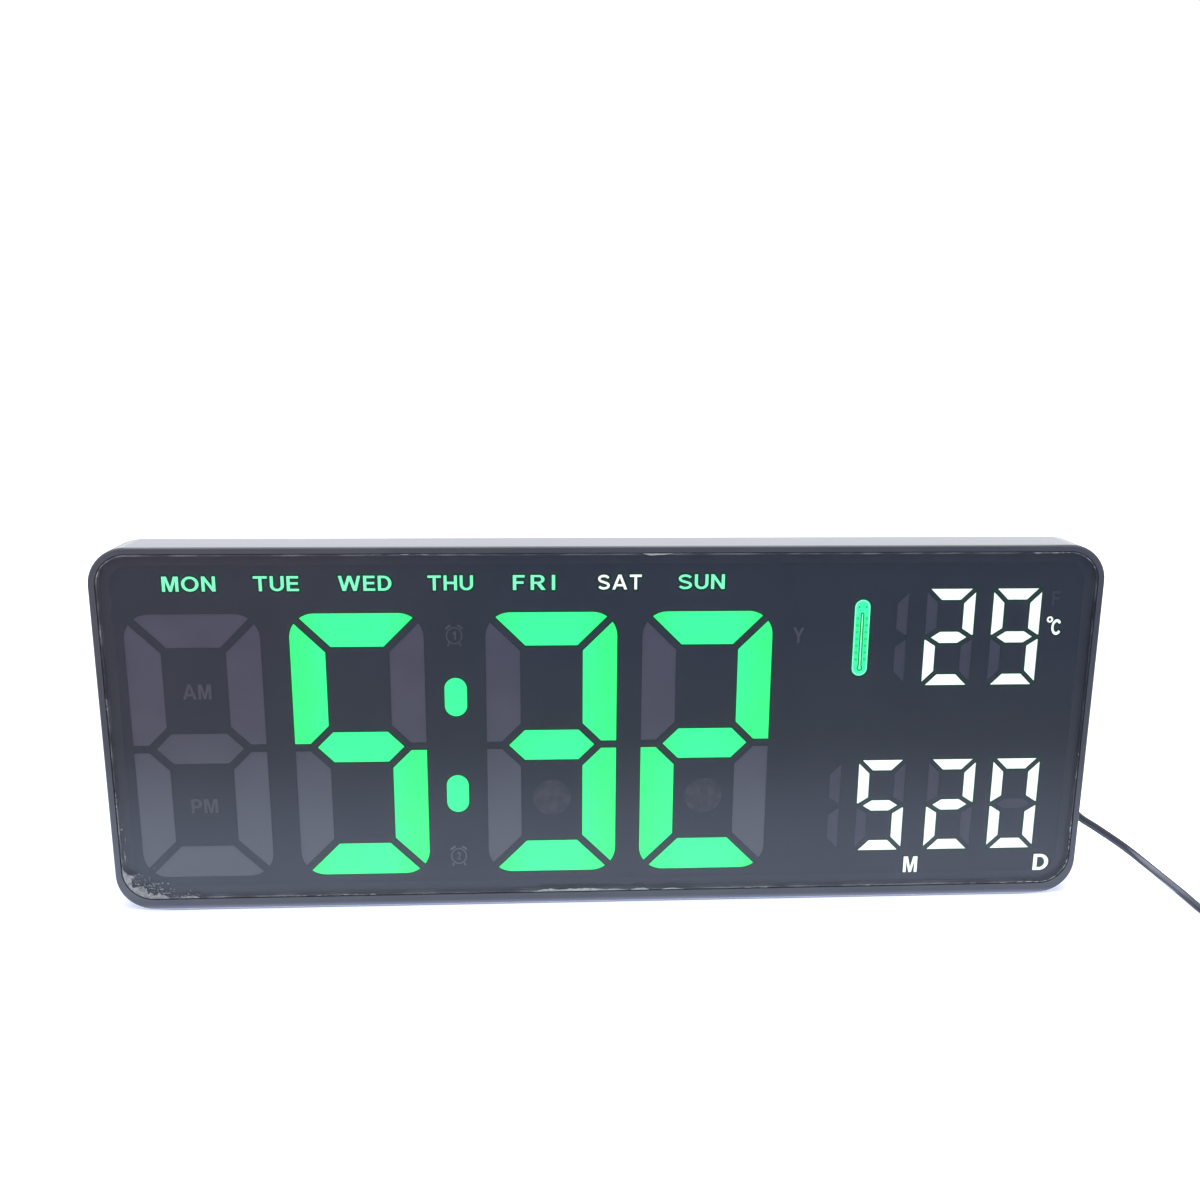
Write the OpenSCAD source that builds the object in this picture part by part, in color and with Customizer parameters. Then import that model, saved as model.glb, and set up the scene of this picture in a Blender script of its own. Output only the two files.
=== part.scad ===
/* [Case] */
// Width of the case
body_w = 360; // [356:1:400]
// Height of the case
body_h = 136; // [133:1:150]
// Depth of the case without the raised back
body_d = 17.5; // [17:0.5:24]
// Radius of the case corners
corner_r = 13.5; // [11:0.5:16]
// Wall of the frame
wall = 2.3; // [2:0.1:3]
// Rounding of the front edge
edge_fillet = 0.6; // [0.4:0.1:1.4]
// Rim that shows beside and above the panel
rim_w = 2.3; // [2:0.1:3]
// Rim that shows under the panel
sill_h = 4; // [3.5:0.1:5]
// Width of the shoulder that carries the panel
ledge_w = 3.5; // [3:0.1:4]
// Thickness of the shoulder
ledge_t = 1.8; // [1.4:0.1:2.2]
// Radius of the screw bosses
boss_r = 2.6; // [2.5:0.1:2.8]
// Distance of the outer screw bosses from the case sides
boss_inset = 30; // [24:1:34]

/* [Panel] */
// Thickness of the front panel
panel_t = 2; // [1.5:0.1:2.5]
// How far the panel lies behind the rim
panel_setback = 0.2; // [0:0.05:0.6]
// Gap between panel and rim
panel_clear = 0.15; // [0.1:0.05:0.4]
// Thickness of the adhesive tape
tape_t = 0.2; // [0.15:0.05:0.4]
// Thickness of the mask film
film_t = 0.25; // [0.1:0.05:0.4]
// Bond line between panel and film
bond_t = 0.1; // [0.05:0.05:0.2]

/* [Large digits] */
// Width of a large digit
digit_w = 47.2; // [44:0.2:49]
// Height of a large digit
digit_h = 100; // [94:0.5:102]
// Stroke of a large digit
digit_stroke = 12.3; // [10:0.1:13]
// Gap between the segments of a large digit
digit_gap = 2.8; // [2:0.1:3.4]
// Radius of a large digit's corners
digit_corner = 9; // [4:0.5:11]
// Thickness of a large digit's middle segment
digit_middle = 11.5; // [9:0.1:12.5]
// Flat foot of the upright segments
digit_foot = 5.5; // [4:0.1:7]
// Height of the large digits' lower edge above the table
digit_z = 11.8; // [11:0.1:13]
// From the case side to the first digit
digit_margin = 9.9; // [9:0.1:12]
// From tens to units of the hours
hour_pitch = 57.4; // [56:0.1:59]
// From units of the hours to tens of the minutes
colon_pitch = 69.1; // [67:0.1:70]
// From tens to units of the minutes
minute_pitch = 56.3; // [55:0.1:57]
// Width of a colon dot
colon_w = 8; // [6:0.1:10]
// Height of a colon dot
colon_h = 14.5; // [10:0.1:16]
// Distance between the colon dots
colon_spread = 37.2; // [34:0.1:40]

/* [Small digits] */
// Width of a small digit
small_w = 17.8; // [16:0.1:19]
// Height of a small digit
small_h = 36.3; // [33:0.1:38]
// Stroke of a small digit
small_stroke = 4.1; // [3:0.1:4.5]
// Gap between the segments of a small digit
small_gap = 1.8; // [1.4:0.1:2]
// Thickness of a small digit's middle segment
small_middle = 4.2; // [3:0.1:4.5]
// Flat foot of the small upright segments
small_foot = 0.4; // [0.3:0.1:1]
// From one small digit to the next
small_pitch = 24.5; // [23.5:0.1:25]
// From the month to the day
month_pitch = 26.6; // [26:0.1:27.5]
// From the temperature to the case side
temperature_margin = 21.7; // [21:0.1:23]
// From the date to the case side
date_margin = 16.4; // [16:0.1:18]
// From the temperature's centre to the case top
temperature_drop = 34.6; // [34:0.1:36]
// From the minutes to the date
display_gap = 10.3; // [9:0.1:12]
// Height of the date's centre above the table
date_z = 36; // [35:0.1:38]

/* [Light guides] */
// Depth of the diffusers
diffuser_t = 1.5; // [1:0.1:2]
// Gap between diffuser and reflector
diffuser_clear = 0.1; // [0.05:0.05:0.15]
// From one day of the week to the next
day_pitch = 30; // [28:0.2:31]
// Length of a day's light guide
day_w = 20; // [18:0.5:22]
// Height of a day's light guide
day_h = 6.6; // [6:0.1:7]
// From the large digits to the days
day_gap = 7.6; // [6:0.1:9]
// From the days' centre line to the case top
day_drop = 13.3; // [13:0.1:13.8]
// From the first day to the case side
day_margin = 33.5; // [30:0.5:36]
// Width of the thermometer window
thermometer_w = 5.7; // [4:0.1:6.5]
// Height of the thermometer window
thermometer_h = 28.6; // [24:0.2:30]
// From the thermometer to the case side
thermometer_margin = 87.5; // [86:0.1:89]
// Diameter of the two sensor windows
sensor_d = 14; // [10:0.5:16]
// How far the sensor windows lie below the digits' centre
sensor_drop = 20.8; // [20:0.1:22]

/* [Electronics] */
// Depth of the reflector
reflector_d = 6.95; // [6.5:0.05:7.5]
// Thickness of the circuit board
board_t = 1.6; // [1.2:0.1:2]
// Gap between the boards and the case
board_clear = 1; // [0.8:0.1:1.5]
// Side of a light chip
led_w = 2.8; // [2:0.1:3.5]
// Height of a light chip
led_h = 1; // [0.6:0.1:1.4]
// Diameter of the backup cell
cell_d = 20; // [16:0.5:22]
// Thickness of the backup cell
cell_t = 3.2; // [2:0.1:4]
// Diameter of the buzzer
buzzer_d = 12; // [9:0.5:14]

/* [Back cover] */
// Thickness of the back cover
cover_t = 2; // [1.8:0.1:2.4]
// Gap between cover and frame
cover_clear = 0.15; // [0.1:0.05:0.3]
// Width of the raised back
hump_w = 300; // [290:1:306]
// Height of the raised back
hump_h = 92; // [90:1:94]
// Radius of the raised back's corners
hump_r = 6; // [3:0.5:9]
// Height of the raised back above the table
hump_z = 34; // [32:0.5:35]
// How far the raised back stands out
hump_d = 7.5; // [7.2:0.1:10]
// Distance between the two hanging holes
keyhole_spacing = 240; // [220:1:260]
// Entry radius of a hanging hole
keyhole_r = 4; // [3.5:0.1:4.5]
// Half width of a hanging slot
keyslot_r = 2.2; // [1.8:0.1:2.4]
// Length of a hanging slot
keyslot_l = 7; // [6:0.5:8]
// From the hanging holes to the top of the raised back
keyhole_drop = 14; // [13:0.5:16]
// Radius of a screw shank
screw_r = 1; // [0.8:0.05:1.2]
// Radius of a screw head
screw_head_r = 1.9; // [1.6:0.1:2]

/* [Feet] */
// Distance of a foot's pin from the middle
foot_x = 115; // [105:1:125]
// Length of a foot from its pin
foot_l = 48.8; // [44:0.2:54]
// Thickness of a foot
foot_t = 5; // [4:0.1:5.6]
// Height of a foot at its pin
foot_h = 22; // [21.8:0.1:26]
// Radius of a foot's pin
foot_pin_r = 1.5; // [1.2:0.1:1.8]
// Radius of a foot's knuckle
knuckle_r = 3.3; // [3:0.1:3.5]
// From the back of the case to a foot's pin
foot_out = 3.7; // [3.6:0.1:4.2]
// How far a foot's pad stands out below it
pad_proud = 0.8; // [0.5:0.1:1.2]
// Running gap between pin and foot
pin_clear = 0.05; // [0.03:0.01:0.1]

/* [Buttons] */
// Radius of a button
button_r = 3; // [2.5:0.1:3.5]
// How far a button stands out
button_proud = 1.2; // [1:0.1:2]
// Travel of a button
button_travel = 0.6; // [0.4:0.1:0.8]
// From one button to the next
button_pitch = 13; // [12:0.5:14]
// From the first button to the middle
button_x = 52; // [48:1:56]
// Height of the buttons above the table
button_z = 102; // [98:1:104]
// Running gap round a button
button_clear = 0.1; // [0.05:0.01:0.1]

/* [Battery cap] */
// Radius of the battery cap
cap_r = 13; // [12:0.5:14]
// Running gap round the battery cap
cap_clear = 0.1; // [0.05:0.01:0.1]
// Distance of the cap from the middle
cap_x = 70; // [60:1:80]
// Height of the cap above the table
cap_z = 76; // [70:1:84]
// Turn that frees the cap
cap_turn = 45; // [40:1:60]

/* [Lead] */
// Diameter of the lead
lead_d = 3; // [2.8:0.1:3.2]
// Height of the lead's exit above the raised back's round corner
lead_z = 3; // [3:0.5:8]
// Length of the strain relief outside the case
relief_l = 14; // [10:0.5:16]
// Turns of the put-away coil
coil_turns = 9.5; // [5.5:1:9.5]
// Outer radius of the coil's turns
coil_r = 21.7; // [21:0.1:24]
// Pitch of the coil's turns and layers
coil_pitch = 3.5; // [3.5:0.1:3.8]
// Width of the tie
tie_w = 6; // [4:0.5:10]
// Thickness of the tie
tie_t = 1; // [0.8:0.1:1.5]
// Width of the plug's grip
grip_w = 15.4; // [14:0.2:18]
// Length of the plug's grip
grip_l = 24; // [20:0.5:28]
// Height of the plug's grip
grip_h = 8; // [7.5:0.1:9]
// Width of the plug's metal shell
shell_w = 12; // [11.5:0.1:12.5]
// Height of the plug's metal shell
shell_h = 4.5; // [4.3:0.1:4.8]
// Length of the plug's metal shell
shell_l = 18.8; // [16:0.2:19]

/* [Hidden] */
$fn = 48;
// Overshoot of a cut past a face
over = 1;

// Room that the front's layout takes; the layout and the raised back follow the case
layout_w = digit_margin + digit_w + hour_pitch + colon_pitch + minute_pitch + display_gap + 2 * small_pitch
    + month_pitch + small_w + date_margin;
layout_h = digit_z + digit_h + day_gap + day_h / 2 + day_drop;
fit_x = body_w / layout_w;
fit_z = body_h / layout_h;
fit = min(fit_x, fit_z);
raised_w = fit_x * hump_w;
raised_h = fit_z * hump_h;
raised_z = fit_z * hump_z;

// Depths, from the front plane backwards; the origin is the middle of the footprint
reach = body_d + foot_out + foot_l;
y_front = -reach / 2;
y_panel = y_front + panel_setback;
y_tape = y_panel + panel_t;
y_ledge = y_tape + tape_t;
y_cavity = y_ledge + ledge_t;
y_film = y_tape + bond_t;
y_reflector = y_film + film_t;
y_board = y_reflector + reflector_d;
y_board_back = y_board + board_t;
y_back = y_front + body_d;
y_cover = y_back - cover_t;
y_hump = y_back + hump_d;
y_hump_in = y_hump - cover_t;
y_pin = y_back + foot_out;

// Panel recess, window and boards
panel_w = body_w - 2 * rim_w;
panel_z0 = sill_h;
panel_z1 = body_h - rim_w;
panel_r = corner_r - rim_w;
window_w = panel_w - 2 * ledge_w;
window_z0 = panel_z0 + ledge_w;
window_z1 = panel_z1 - ledge_w;
window_r = panel_r - ledge_w;
film_clear = 0.25;
reflector_clear = 0.2;
boss_sink = 0.1;
boss_z = wall + boss_r - boss_sink;
thread_clear = 0.05;
boss_hole_r = screw_r + thread_clear;
hole_clear = 0.3;
boss_x = body_w / 2 - boss_inset;
boss_xs = [for (k = [-1, -1 / 3, 1 / 3, 1]) k * boss_x];
reflector_z0 = max(window_z0 + reflector_clear, boss_z + boss_r + board_clear);
reflector_z1 = min(window_z1 - reflector_clear, body_h - boss_z - boss_r - reflector_clear);
reflector_w = window_w - 2 * reflector_clear;

// Places of the digits
digits_z = fit_z * (digit_z + digit_h / 2);
hour_tens_x = -body_w / 2 + fit_x * (digit_margin + digit_w / 2);
hour_units_x = hour_tens_x + fit_x * hour_pitch;
minute_tens_x = hour_units_x + fit_x * colon_pitch;
minute_units_x = minute_tens_x + fit_x * minute_pitch;
colon_x = (hour_units_x + minute_tens_x) / 2;
colon_rise = fit_z * colon_spread / 2;
temperature_z = body_h - fit_z * temperature_drop;
temperature_units_x = body_w / 2 - fit_x * (temperature_margin + small_w / 2);
temperature_xs = [for (k = [2, 1, 0]) temperature_units_x - k * fit_x * small_pitch];
dates_z = fit_z * date_z;
day_units_x = body_w / 2 - fit_x * (date_margin + small_w / 2);
day_tens_x = day_units_x - fit_x * small_pitch;
month_x = day_tens_x - fit_x * month_pitch;
date_xs = [month_x - fit_x * small_pitch, month_x, day_tens_x, day_units_x];
day_z = body_h - fit_z * day_drop;
day_xs = [for (k = [0:6]) -body_w / 2 + fit_x * (day_margin + k * day_pitch)];
day_guide = [fit_x * day_w, fit_z * day_h];
thermometer_x = body_w / 2 - fit_x * thermometer_margin;
sensor_xs = [minute_tens_x, minute_units_x];
sensor_z = digits_z - fit_z * sensor_drop;
sensor_r = fit * sensor_d / 2;

// Style of a digit: width, height, stroke, gap, corner radius, foot, slope of the middle cuts, middle
small_corner = 0.6;
digit_slope = 1;
small_slope = 0.65;
digit_style = [fit_x * digit_w, fit_z * digit_h, fit * digit_stroke, fit * digit_gap, fit * digit_corner,
    fit * digit_foot, digit_slope, fit * digit_middle];
small_style = [fit_x * small_w, fit_z * small_h, fit * small_stroke, fit * small_gap, fit * small_corner,
    fit * small_foot, small_slope, fit * small_middle];

// Legend light guides: centre and size
legend_w = fit_x * 5;
legend_h = fit_z * 5;
half_day_w = fit_x * 11;
alarm_w = fit_x * 7;
legend_places = [
    [hour_tens_x, digits_z + fit_z * 21.5, half_day_w],
    [hour_tens_x, digits_z - fit_z * 22, half_day_w],
    [colon_x, digits_z + fit_z * 41.6, alarm_w],
    [colon_x, digits_z - fit_z * 43.4, alarm_w],
    [temperature_units_x + fit_x * 15.2, temperature_z + fit_z * 3.5, alarm_w],
    [temperature_units_x + fit_x * 14.2, temperature_z + fit_z * 14.6, legend_w],
    [month_x - fit_x * 34.1, temperature_z + fit_z * 1.3, legend_w],
    [month_x + fit_x * 13.3, dates_z - fit_z * 22, legend_w],
    [day_units_x + fit_x * 13, dates_z - fit_z * 22, legend_w]];

// Board screws stand in the bare strips between the digits
month_screw_gap = fit_x * 31;
tens_screw_gap = fit_x * 10;
units_screw_gap = fit_x * 13;
board_screw_z = (dates_z + temperature_z) / 2;
board_screw_places = [
    [(hour_tens_x + hour_units_x) / 2, digits_z],
    [colon_x, digits_z],
    [(minute_tens_x + minute_units_x) / 2, digits_z],
    [month_x - month_screw_gap, board_screw_z],
    [day_tens_x - tens_screw_gap, board_screw_z],
    [day_units_x + units_screw_gap, board_screw_z]];
board_screw_l = 5;
post_r = 3;
post_gap = 0.1;
cover_w = body_w - 2 * wall - 2 * cover_clear;
post_x = (raised_w + cover_w) / 4;
post_low = raised_z - 12;
post_high = raised_z + raised_h - 14;
post_places = [[-post_x, post_low], [post_x, post_low], [-post_x, post_high], [post_x, post_high],
    [0, post_low]];

// Places on the back of the board
controller_place = [0, raised_z + 52];
controller_w = 18;
controller_h = 7.6;
driver_w = 10;
driver_h = 4;
crystal_place = [22, raised_z + 52];
driver_xs = [for (k = [-11, -5, 5, 11]) k * raised_w / 30];
driver_z = raised_z + 14;
capacitor_xs = [for (k = [8, 9]) k * raised_w / 30];
capacitor_z = raised_z + 12;
capacitor_r = 3.2;
capacitor_h = 7;
thermistor_x = 24;
socket_inset = 24;
socket_w = 7;
socket_h = 6;
socket_t = 5;
cell_clear = 0.15;
holder_floor = 0.6;
holder_wall = 1.4;
holder_share = 0.8;

// Back cover details
screw_head_t = 0.9;
screw_l = 9;
seat_clear = 0.15;
keyhole_z = raised_z + raised_h - keyhole_drop;
vent_w = 2;
vent_l = 16;
vent_count = 6;
vent_pitch = 5;
vent_x = -16;
vent_z = raised_z + 22;
lug_gap = 0.2;
lug_t = 3.4;
lug_z0 = 2.6;
lug_z1 = lug_z0 + lug_t;
lug_z3 = foot_h - lug_gap;
lug_z2 = lug_z3 - lug_t;
lug_clear = 0.03;
blade_gap = 1;
blade_start = knuckle_r + blade_gap;
pad_t = 2;
pad_w = 3;
pad_l = 16;
pad_clear = 0.05;
pad_end = 5;
pad_start = foot_l - pad_l - pad_end;

// Buttons
button_count = 5;
button_flange_t = 1;
button_flange_w = 1.2;
button_flange_r = button_r + button_flange_w;
button_seat = 0.15;
switch_h = 3.5;
switch_w = 6;
plunger_h = 1.5;
plunger_r = 1.75;
stem_r = 1.6;
stem_end = y_board_back + switch_h + plunger_h + button_travel + button_seat;

// Battery cap
bar_w = 7;
bar_t = 1.2;
bar_over = 1.6;
bar_gap = 0.15;
bar_clear = 0.4;
cap_hub_w = 4;
cap_hub_r = cap_r - cap_hub_w;
coin_slot_w = 2;
coin_slot_l = 14;
coin_slot_t = 1;

// Lead: it leaves the raised back along +X
lead_out = 3;
lead_y = y_back + lead_out;
exit_z = raised_z + hump_r + lead_z;
hump_side = raised_w / 2;
relief_end = hump_side + relief_l;
lead_r = lead_d / 2;
neck_wall = 0.4;
neck_r = lead_r + neck_wall;
neck_clear = 0.05;
flange_t = 1;
relief_step = 2;
lead_route = [[relief_end, lead_y, exit_z], [relief_end + relief_step, lead_y, exit_z],
    [170.4, -14.5, 41.9], [174.6, -14.6, 38.9], [179, -14.7, 34.2], [184, -14.9, 28.5], [190, -15.2, 22.4],
    [196.5, -15.7, 18.2], [203, -16.8, 14], [209.2, -18.5, 9.8], [214.4, -21.8, 5.9], [218, -27, 3.2],
    [219.8, -33.5, 2], [220.6, -40.5, 1.6], [220.8, -47.5, 1.5], [221, -53.5, 1.5], [222.2, -59, 1.7],
    [224, -64, 2.3], [225, -67, 2.8], [225, -70, 2.8]];
lead_sides = 8;
coil_sides = 6;
coil_steps = 24;
coil_layers = 4;
coil_start = lead_route[len(lead_route) - 1];
coil_x = coil_start[0] + coil_r;
coil_y = coil_start[1] - lead_d;
coil_z = coil_start[2];
tail_start = [coil_x + coil_r, coil_y + lead_d, coil_z + (coil_layers - 1) * coil_pitch];
plug_z = grip_h / 2;
tail_drop = tail_start[2] - plug_z;
// Shares of the tail's length, side step and drop, point by point
tail_shares = [[0, 0, 0], [0.1, 0, 0], [0.24, 0.08, 0.09], [0.4, 0.28, 0.3], [0.56, 0.55, 0.58],
    [0.72, 0.82, 0.83], [0.88, 1, 1], [1, 1, 1]];
tail_l = 30;
tail_side = 3;
tail_route = [for (s = tail_shares) tail_start + [s[1] * tail_side, s[0] * tail_l, -s[2] * tail_drop]];
plug_start = tail_route[len(tail_route) - 1];
plug_relief_l = 8;
shell_wall = 0.3;
socket_x = hump_side - socket_inset;
wire_d = 1;
wire_apart = 0.8;

function unit(v) = v / norm(v);
function heading(p, i) = unit(p[min(i + 1, len(p) - 1)] - p[max(i - 1, 0)]);
function ring(p, i, r, sides) = let (t = heading(p, i), s = unit(cross(t, [0, 0, 1])), u = cross(s, t))
    [for (k = [0:sides - 1]) p[i] + r * (cos(360 * k / sides) * s + sin(360 * k / sides) * u)];

// The coil spirals in and out at a steady rate and climbs a layer in the half turn at each reversal
coil_in = coil_turns / coil_layers;
function coil_swing(turn) = let (k = floor(turn / coil_in), s = turn - k * coil_in)
    k % 2 == 0 ? s : coil_in - s;
function coil_rise(turn) = coil_pitch
    * sum_of([for (k = [1:coil_layers - 1]) min(1, max(0, (turn - k * coil_in) / 0.5 + 0.5))]);
function sum_of(v, i = 0) = i < len(v) ? v[i] + sum_of(v, i + 1) : 0;
function coil_point(turn) = let (r = coil_r - coil_pitch * coil_swing(turn), a = 180 + 360 * turn)
    [coil_x + r * cos(a), coil_y + r * sin(a), coil_z + coil_rise(turn)];
coil_count = coil_turns * coil_steps;
coil_turn_points = [for (i = [0:coil_count]) coil_point(i / coil_steps)];
coil_route = concat([coil_start], coil_turn_points, [tail_start]);
coil_apart = 12;
coil_gap = min([for (i = [0:coil_count - coil_apart]) for (j = [i + coil_apart:coil_count])
    norm(coil_turn_points[i] - coil_turn_points[j])]) - lead_d;
echo(coil_gap = coil_gap);
function route_length(p) = sum_of([for (i = [1:len(p) - 1]) norm(p[i] - p[i - 1])]);
echo(lead_length = route_length(lead_route) + route_length(coil_route) + route_length(tail_route));

// A tube swept along a list of points
module tube(points, d, sides) {
    last = len(points) - 1;
    rings = [for (i = [0:last]) each ring(points, i, d / 2, sides)];
    walls = [for (i = [0:last - 1]) for (k = [0:sides - 1]) let (a = i * sides + k,
        b = i * sides + (k + 1) % sides) each [[a, b, b + sides], [a, b + sides, a + sides]]];
    start_cap = [for (k = [1:sides - 2]) [0, k + 1, k]];
    end_cap = [for (k = [1:sides - 2]) [last * sides, last * sides + k, last * sides + k + 1]];
    polyhedron(points = rings, faces = concat(walls, start_cap, end_cap));
}

// A flat shape in X and Z, from depth y0 back to depth y1
module slab(y0, y1) {
    translate([0, y1, 0]) rotate([90, 0, 0]) linear_extrude(y1 - y0) children();
}

module disc(x, z, r, y0, y1) {
    slab(y0, y1) translate([x, z]) circle(r);
}

module block(x, z, w, h, y0, y1) {
    slab(y0, y1) translate([x - w / 2, z - h / 2]) square([w, h]);
}

// Upright rectangle with round corners, centred on x
module rounded(w, z0, z1, r) {
    translate([-w / 2 + r, z0]) square([w - 2 * r, z1 - z0]);
    translate([-w / 2, z0 + r]) square([w, z1 - z0 - 2 * r]);
    for (x = [-1, 1]) for (z = [z0 + r, z1 - r]) translate([x * (w / 2 - r), z]) circle(r);
}

// Section of the case from a corner's axis to the outside, with the rounded front edge
module edge_section() {
    translate([0, -body_d]) square([corner_r, body_d - edge_fillet]);
    translate([0, -body_d]) square([corner_r - edge_fillet, body_d]);
    translate([corner_r - edge_fillet, -edge_fillet]) circle(edge_fillet);
}

module case_side(length, out) {
    translate([out, length / 2, 0]) rotate([90, 0, 0]) linear_extrude(length) edge_section();
}

// Solid outline of the case, front plane at y_front
module case_outline() {
    half_w = body_w / 2 - corner_r;
    half_h = body_h / 2 - corner_r;
    translate([0, y_front, body_h / 2]) rotate([90, 0, 0]) {
        translate([-half_w, -half_h, -body_d]) cube([2 * half_w, 2 * half_h, body_d]);
        for (side = [0, 180]) rotate(side) case_side(2 * half_h, half_w);
        for (side = [90, 270]) rotate(side) case_side(2 * half_w, half_h);
        for (side = [0, 180]) rotate(side) {
            translate([half_w, half_h, 0]) rotate_extrude(angle = 90) edge_section();
            translate([-half_w, half_h, 0]) rotate(90) rotate_extrude(angle = 90) edge_section();
        }
    }
}

// One segment of a digit, as a polygon about the digit's centre
function segment_points(name, style, grow) = let (
        w = style[0] / 2 + grow, h = style[1] / 2 + grow, t = style[2] + 2 * grow, gap = style[3] - 2 * grow,
        q = gap / sqrt(2), foot = style[5] + grow, rise = style[6], low = gap / 2,
        m = style[7] / 2 + grow, tip = w - (foot - low / rise + gap * sqrt(1 + rise * rise) / rise),
        flat = tip - m / rise,
        top = [[-w + q, h], [w - q, h], [w - q - t, h - t], [-w + q + t, h - t]],
        side = [[-w, h - q], [-w + t, h - q - t], [-w + t, low + rise * (t - foot)], [-w + foot, low],
            [-w, low]],
        middle = [[-tip, 0], [-flat, m], [flat, m], [tip, 0], [flat, -m], [-flat, -m]])
    name == "a" ? top : name == "g" ? middle : name == "d" ? flipped(top, 1, -1) :
    name == "f" ? side : name == "b" ? flipped(side, -1, 1) :
    name == "e" ? flipped(side, 1, -1) : flipped(side, -1, -1);
function flipped(points, sx, sz) = [for (p = points) [p[0] * sx, p[1] * sz]];

// Segments of one digit
module segments(names, x, z, style, grow = 0) {
    translate([x, z]) intersection() {
        union() for (name = names) polygon(segment_points(name, style, grow));
        rounded(style[0] + 2 * grow, -style[1] / 2 - grow, style[1] / 2 + grow, style[4] + grow);
    }
}

module pill(x, z, w, h, grow = 0) {
    r = w / 2 + grow;
    translate([x, z]) {
        translate([-r, -h / 2 + w / 2]) square([2 * r, h - w]);
        for (s = [-1, 1]) translate([0, s * (h - w) / 2]) circle(r);
    }
}

all_names = ["a", "b", "c", "d", "e", "f", "g"];
right_names = ["b", "c"];

// What the mask film leaves open
module lit_openings(grow = 0) {
    for (x = [hour_tens_x, hour_units_x, minute_tens_x, minute_units_x])
        segments(all_names, x, digits_z, digit_style, grow);
    for (s = [-1, 1]) pill(colon_x, digits_z + s * colon_rise, fit * colon_w, fit * colon_h, grow);
    segments(right_names, temperature_xs[0], temperature_z, small_style, grow);
    for (k = [1, 2]) segments(all_names, temperature_xs[k], temperature_z, small_style, grow);
    segments(right_names, date_xs[0], dates_z, small_style, grow);
    for (k = [1, 2, 3]) segments(all_names, date_xs[k], dates_z, small_style, grow);
    pill(thermometer_x, temperature_z, fit * thermometer_w, fit * thermometer_h, grow);
    for (x = sensor_xs) translate([x, sensor_z]) circle(sensor_r + grow);
}

module day_shapes(grow = 0) {
    for (x = day_xs) translate([x - day_guide[0] / 2 - grow, day_z - day_guide[1] / 2 - grow])
        square([day_guide[0] + 2 * grow, day_guide[1] + 2 * grow]);
}

module legend_shapes(grow = 0) {
    for (p = legend_places) translate([p[0] - p[2] / 2 - grow, p[1] - legend_h / 2 - grow])
        square([p[2] + 2 * grow, legend_h + 2 * grow]);
}

module diffuser() {
    slab(y_reflector, y_reflector + diffuser_t) children();
}

module front_frame() {
    color("#1b1c20") difference() {
        union() {
            difference() {
                case_outline();
                slab(y_front - over, y_ledge) rounded(panel_w, panel_z0, panel_z1, panel_r);
                slab(y_ledge - over, y_cavity + over) rounded(window_w, window_z0, window_z1, window_r);
                slab(y_cavity, y_back + over)
                    rounded(body_w - 2 * wall, wall, body_h - wall, corner_r - wall);
            }
            for (x = boss_xs) for (z = [boss_z, body_h - boss_z])
                disc(x, z, boss_r, y_cavity - ledge_t / 2, y_cover);
        }
        for (x = boss_xs) for (z = [boss_z, body_h - boss_z])
            disc(x, z, boss_hole_r, y_cavity, y_cover + over);
    }
}

module front_panel() {
    color("#2f343f") slab(y_panel, y_tape) rounded(panel_w - 2 * panel_clear, panel_z0 + panel_clear,
        panel_z1 - panel_clear, panel_r - panel_clear);
}

module panel_tape() {
    margin = 0.5;
    color("#26262a") slab(y_tape, y_ledge) difference() {
        rounded(panel_w - 2 * margin, panel_z0 + margin, panel_z1 - margin, panel_r - margin);
        rounded(window_w + 2 * margin, window_z0 - margin, window_z1 + margin, window_r + margin);
    }
}

module mask_film() {
    color("#15161a") slab(y_film, y_reflector) difference() {
        rounded(window_w - 2 * film_clear, window_z0 + film_clear, window_z1 - film_clear,
            window_r - film_clear);
        lit_openings();
    }
}

module reflector() {
    color("#e8e8e4") difference() {
        slab(y_reflector, y_board)
            rounded(reflector_w, reflector_z0, reflector_z1, window_r - reflector_clear);
        slab(y_reflector - over, y_board + over) {
            lit_openings(diffuser_clear);
            day_shapes(diffuser_clear);
            legend_shapes(diffuser_clear);
        }
        for (p = board_screw_places)
            disc(p[0], p[1], boss_hole_r, y_board - board_screw_l - board_clear, y_board + over);
    }
}

module hour_tens_segments() {
    color("#54515f") diffuser() segments(all_names, hour_tens_x, digits_z, digit_style);
}

module hour_units_lit() {
    color("#49ff8c") diffuser() segments(["a", "f", "g", "c", "d"], hour_units_x, digits_z, digit_style);
}

module hour_units_unlit() {
    color("#54515f") diffuser() segments(["b", "e"], hour_units_x, digits_z, digit_style);
}

module minute_tens_lit() {
    color("#49ff8c") diffuser() segments(["a", "b", "g", "c", "d"], minute_tens_x, digits_z, digit_style);
}

module minute_tens_unlit() {
    color("#54515f") diffuser() segments(["e", "f"], minute_tens_x, digits_z, digit_style);
}

module minute_units_lit() {
    color("#49ff8c") diffuser() segments(["a", "b", "g", "e", "d"], minute_units_x, digits_z, digit_style);
}

module minute_units_unlit() {
    color("#54515f") diffuser() segments(["c", "f"], minute_units_x, digits_z, digit_style);
}

module colon_dots() {
    color("#49ff8c") diffuser() for (s = [-1, 1])
        pill(colon_x, digits_z + s * colon_rise, fit * colon_w, fit * colon_h);
}

module temperature_lit() {
    color("white") diffuser() {
        segments(["a", "b", "g", "e", "d"], temperature_xs[1], temperature_z, small_style);
        segments(["a", "b", "c", "d", "f", "g"], temperature_xs[2], temperature_z, small_style);
    }
}

module temperature_unlit() {
    color("#54515f") diffuser() {
        segments(right_names, temperature_xs[0], temperature_z, small_style);
        segments(["c", "f"], temperature_xs[1], temperature_z, small_style);
        segments(["e"], temperature_xs[2], temperature_z, small_style);
    }
}

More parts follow.
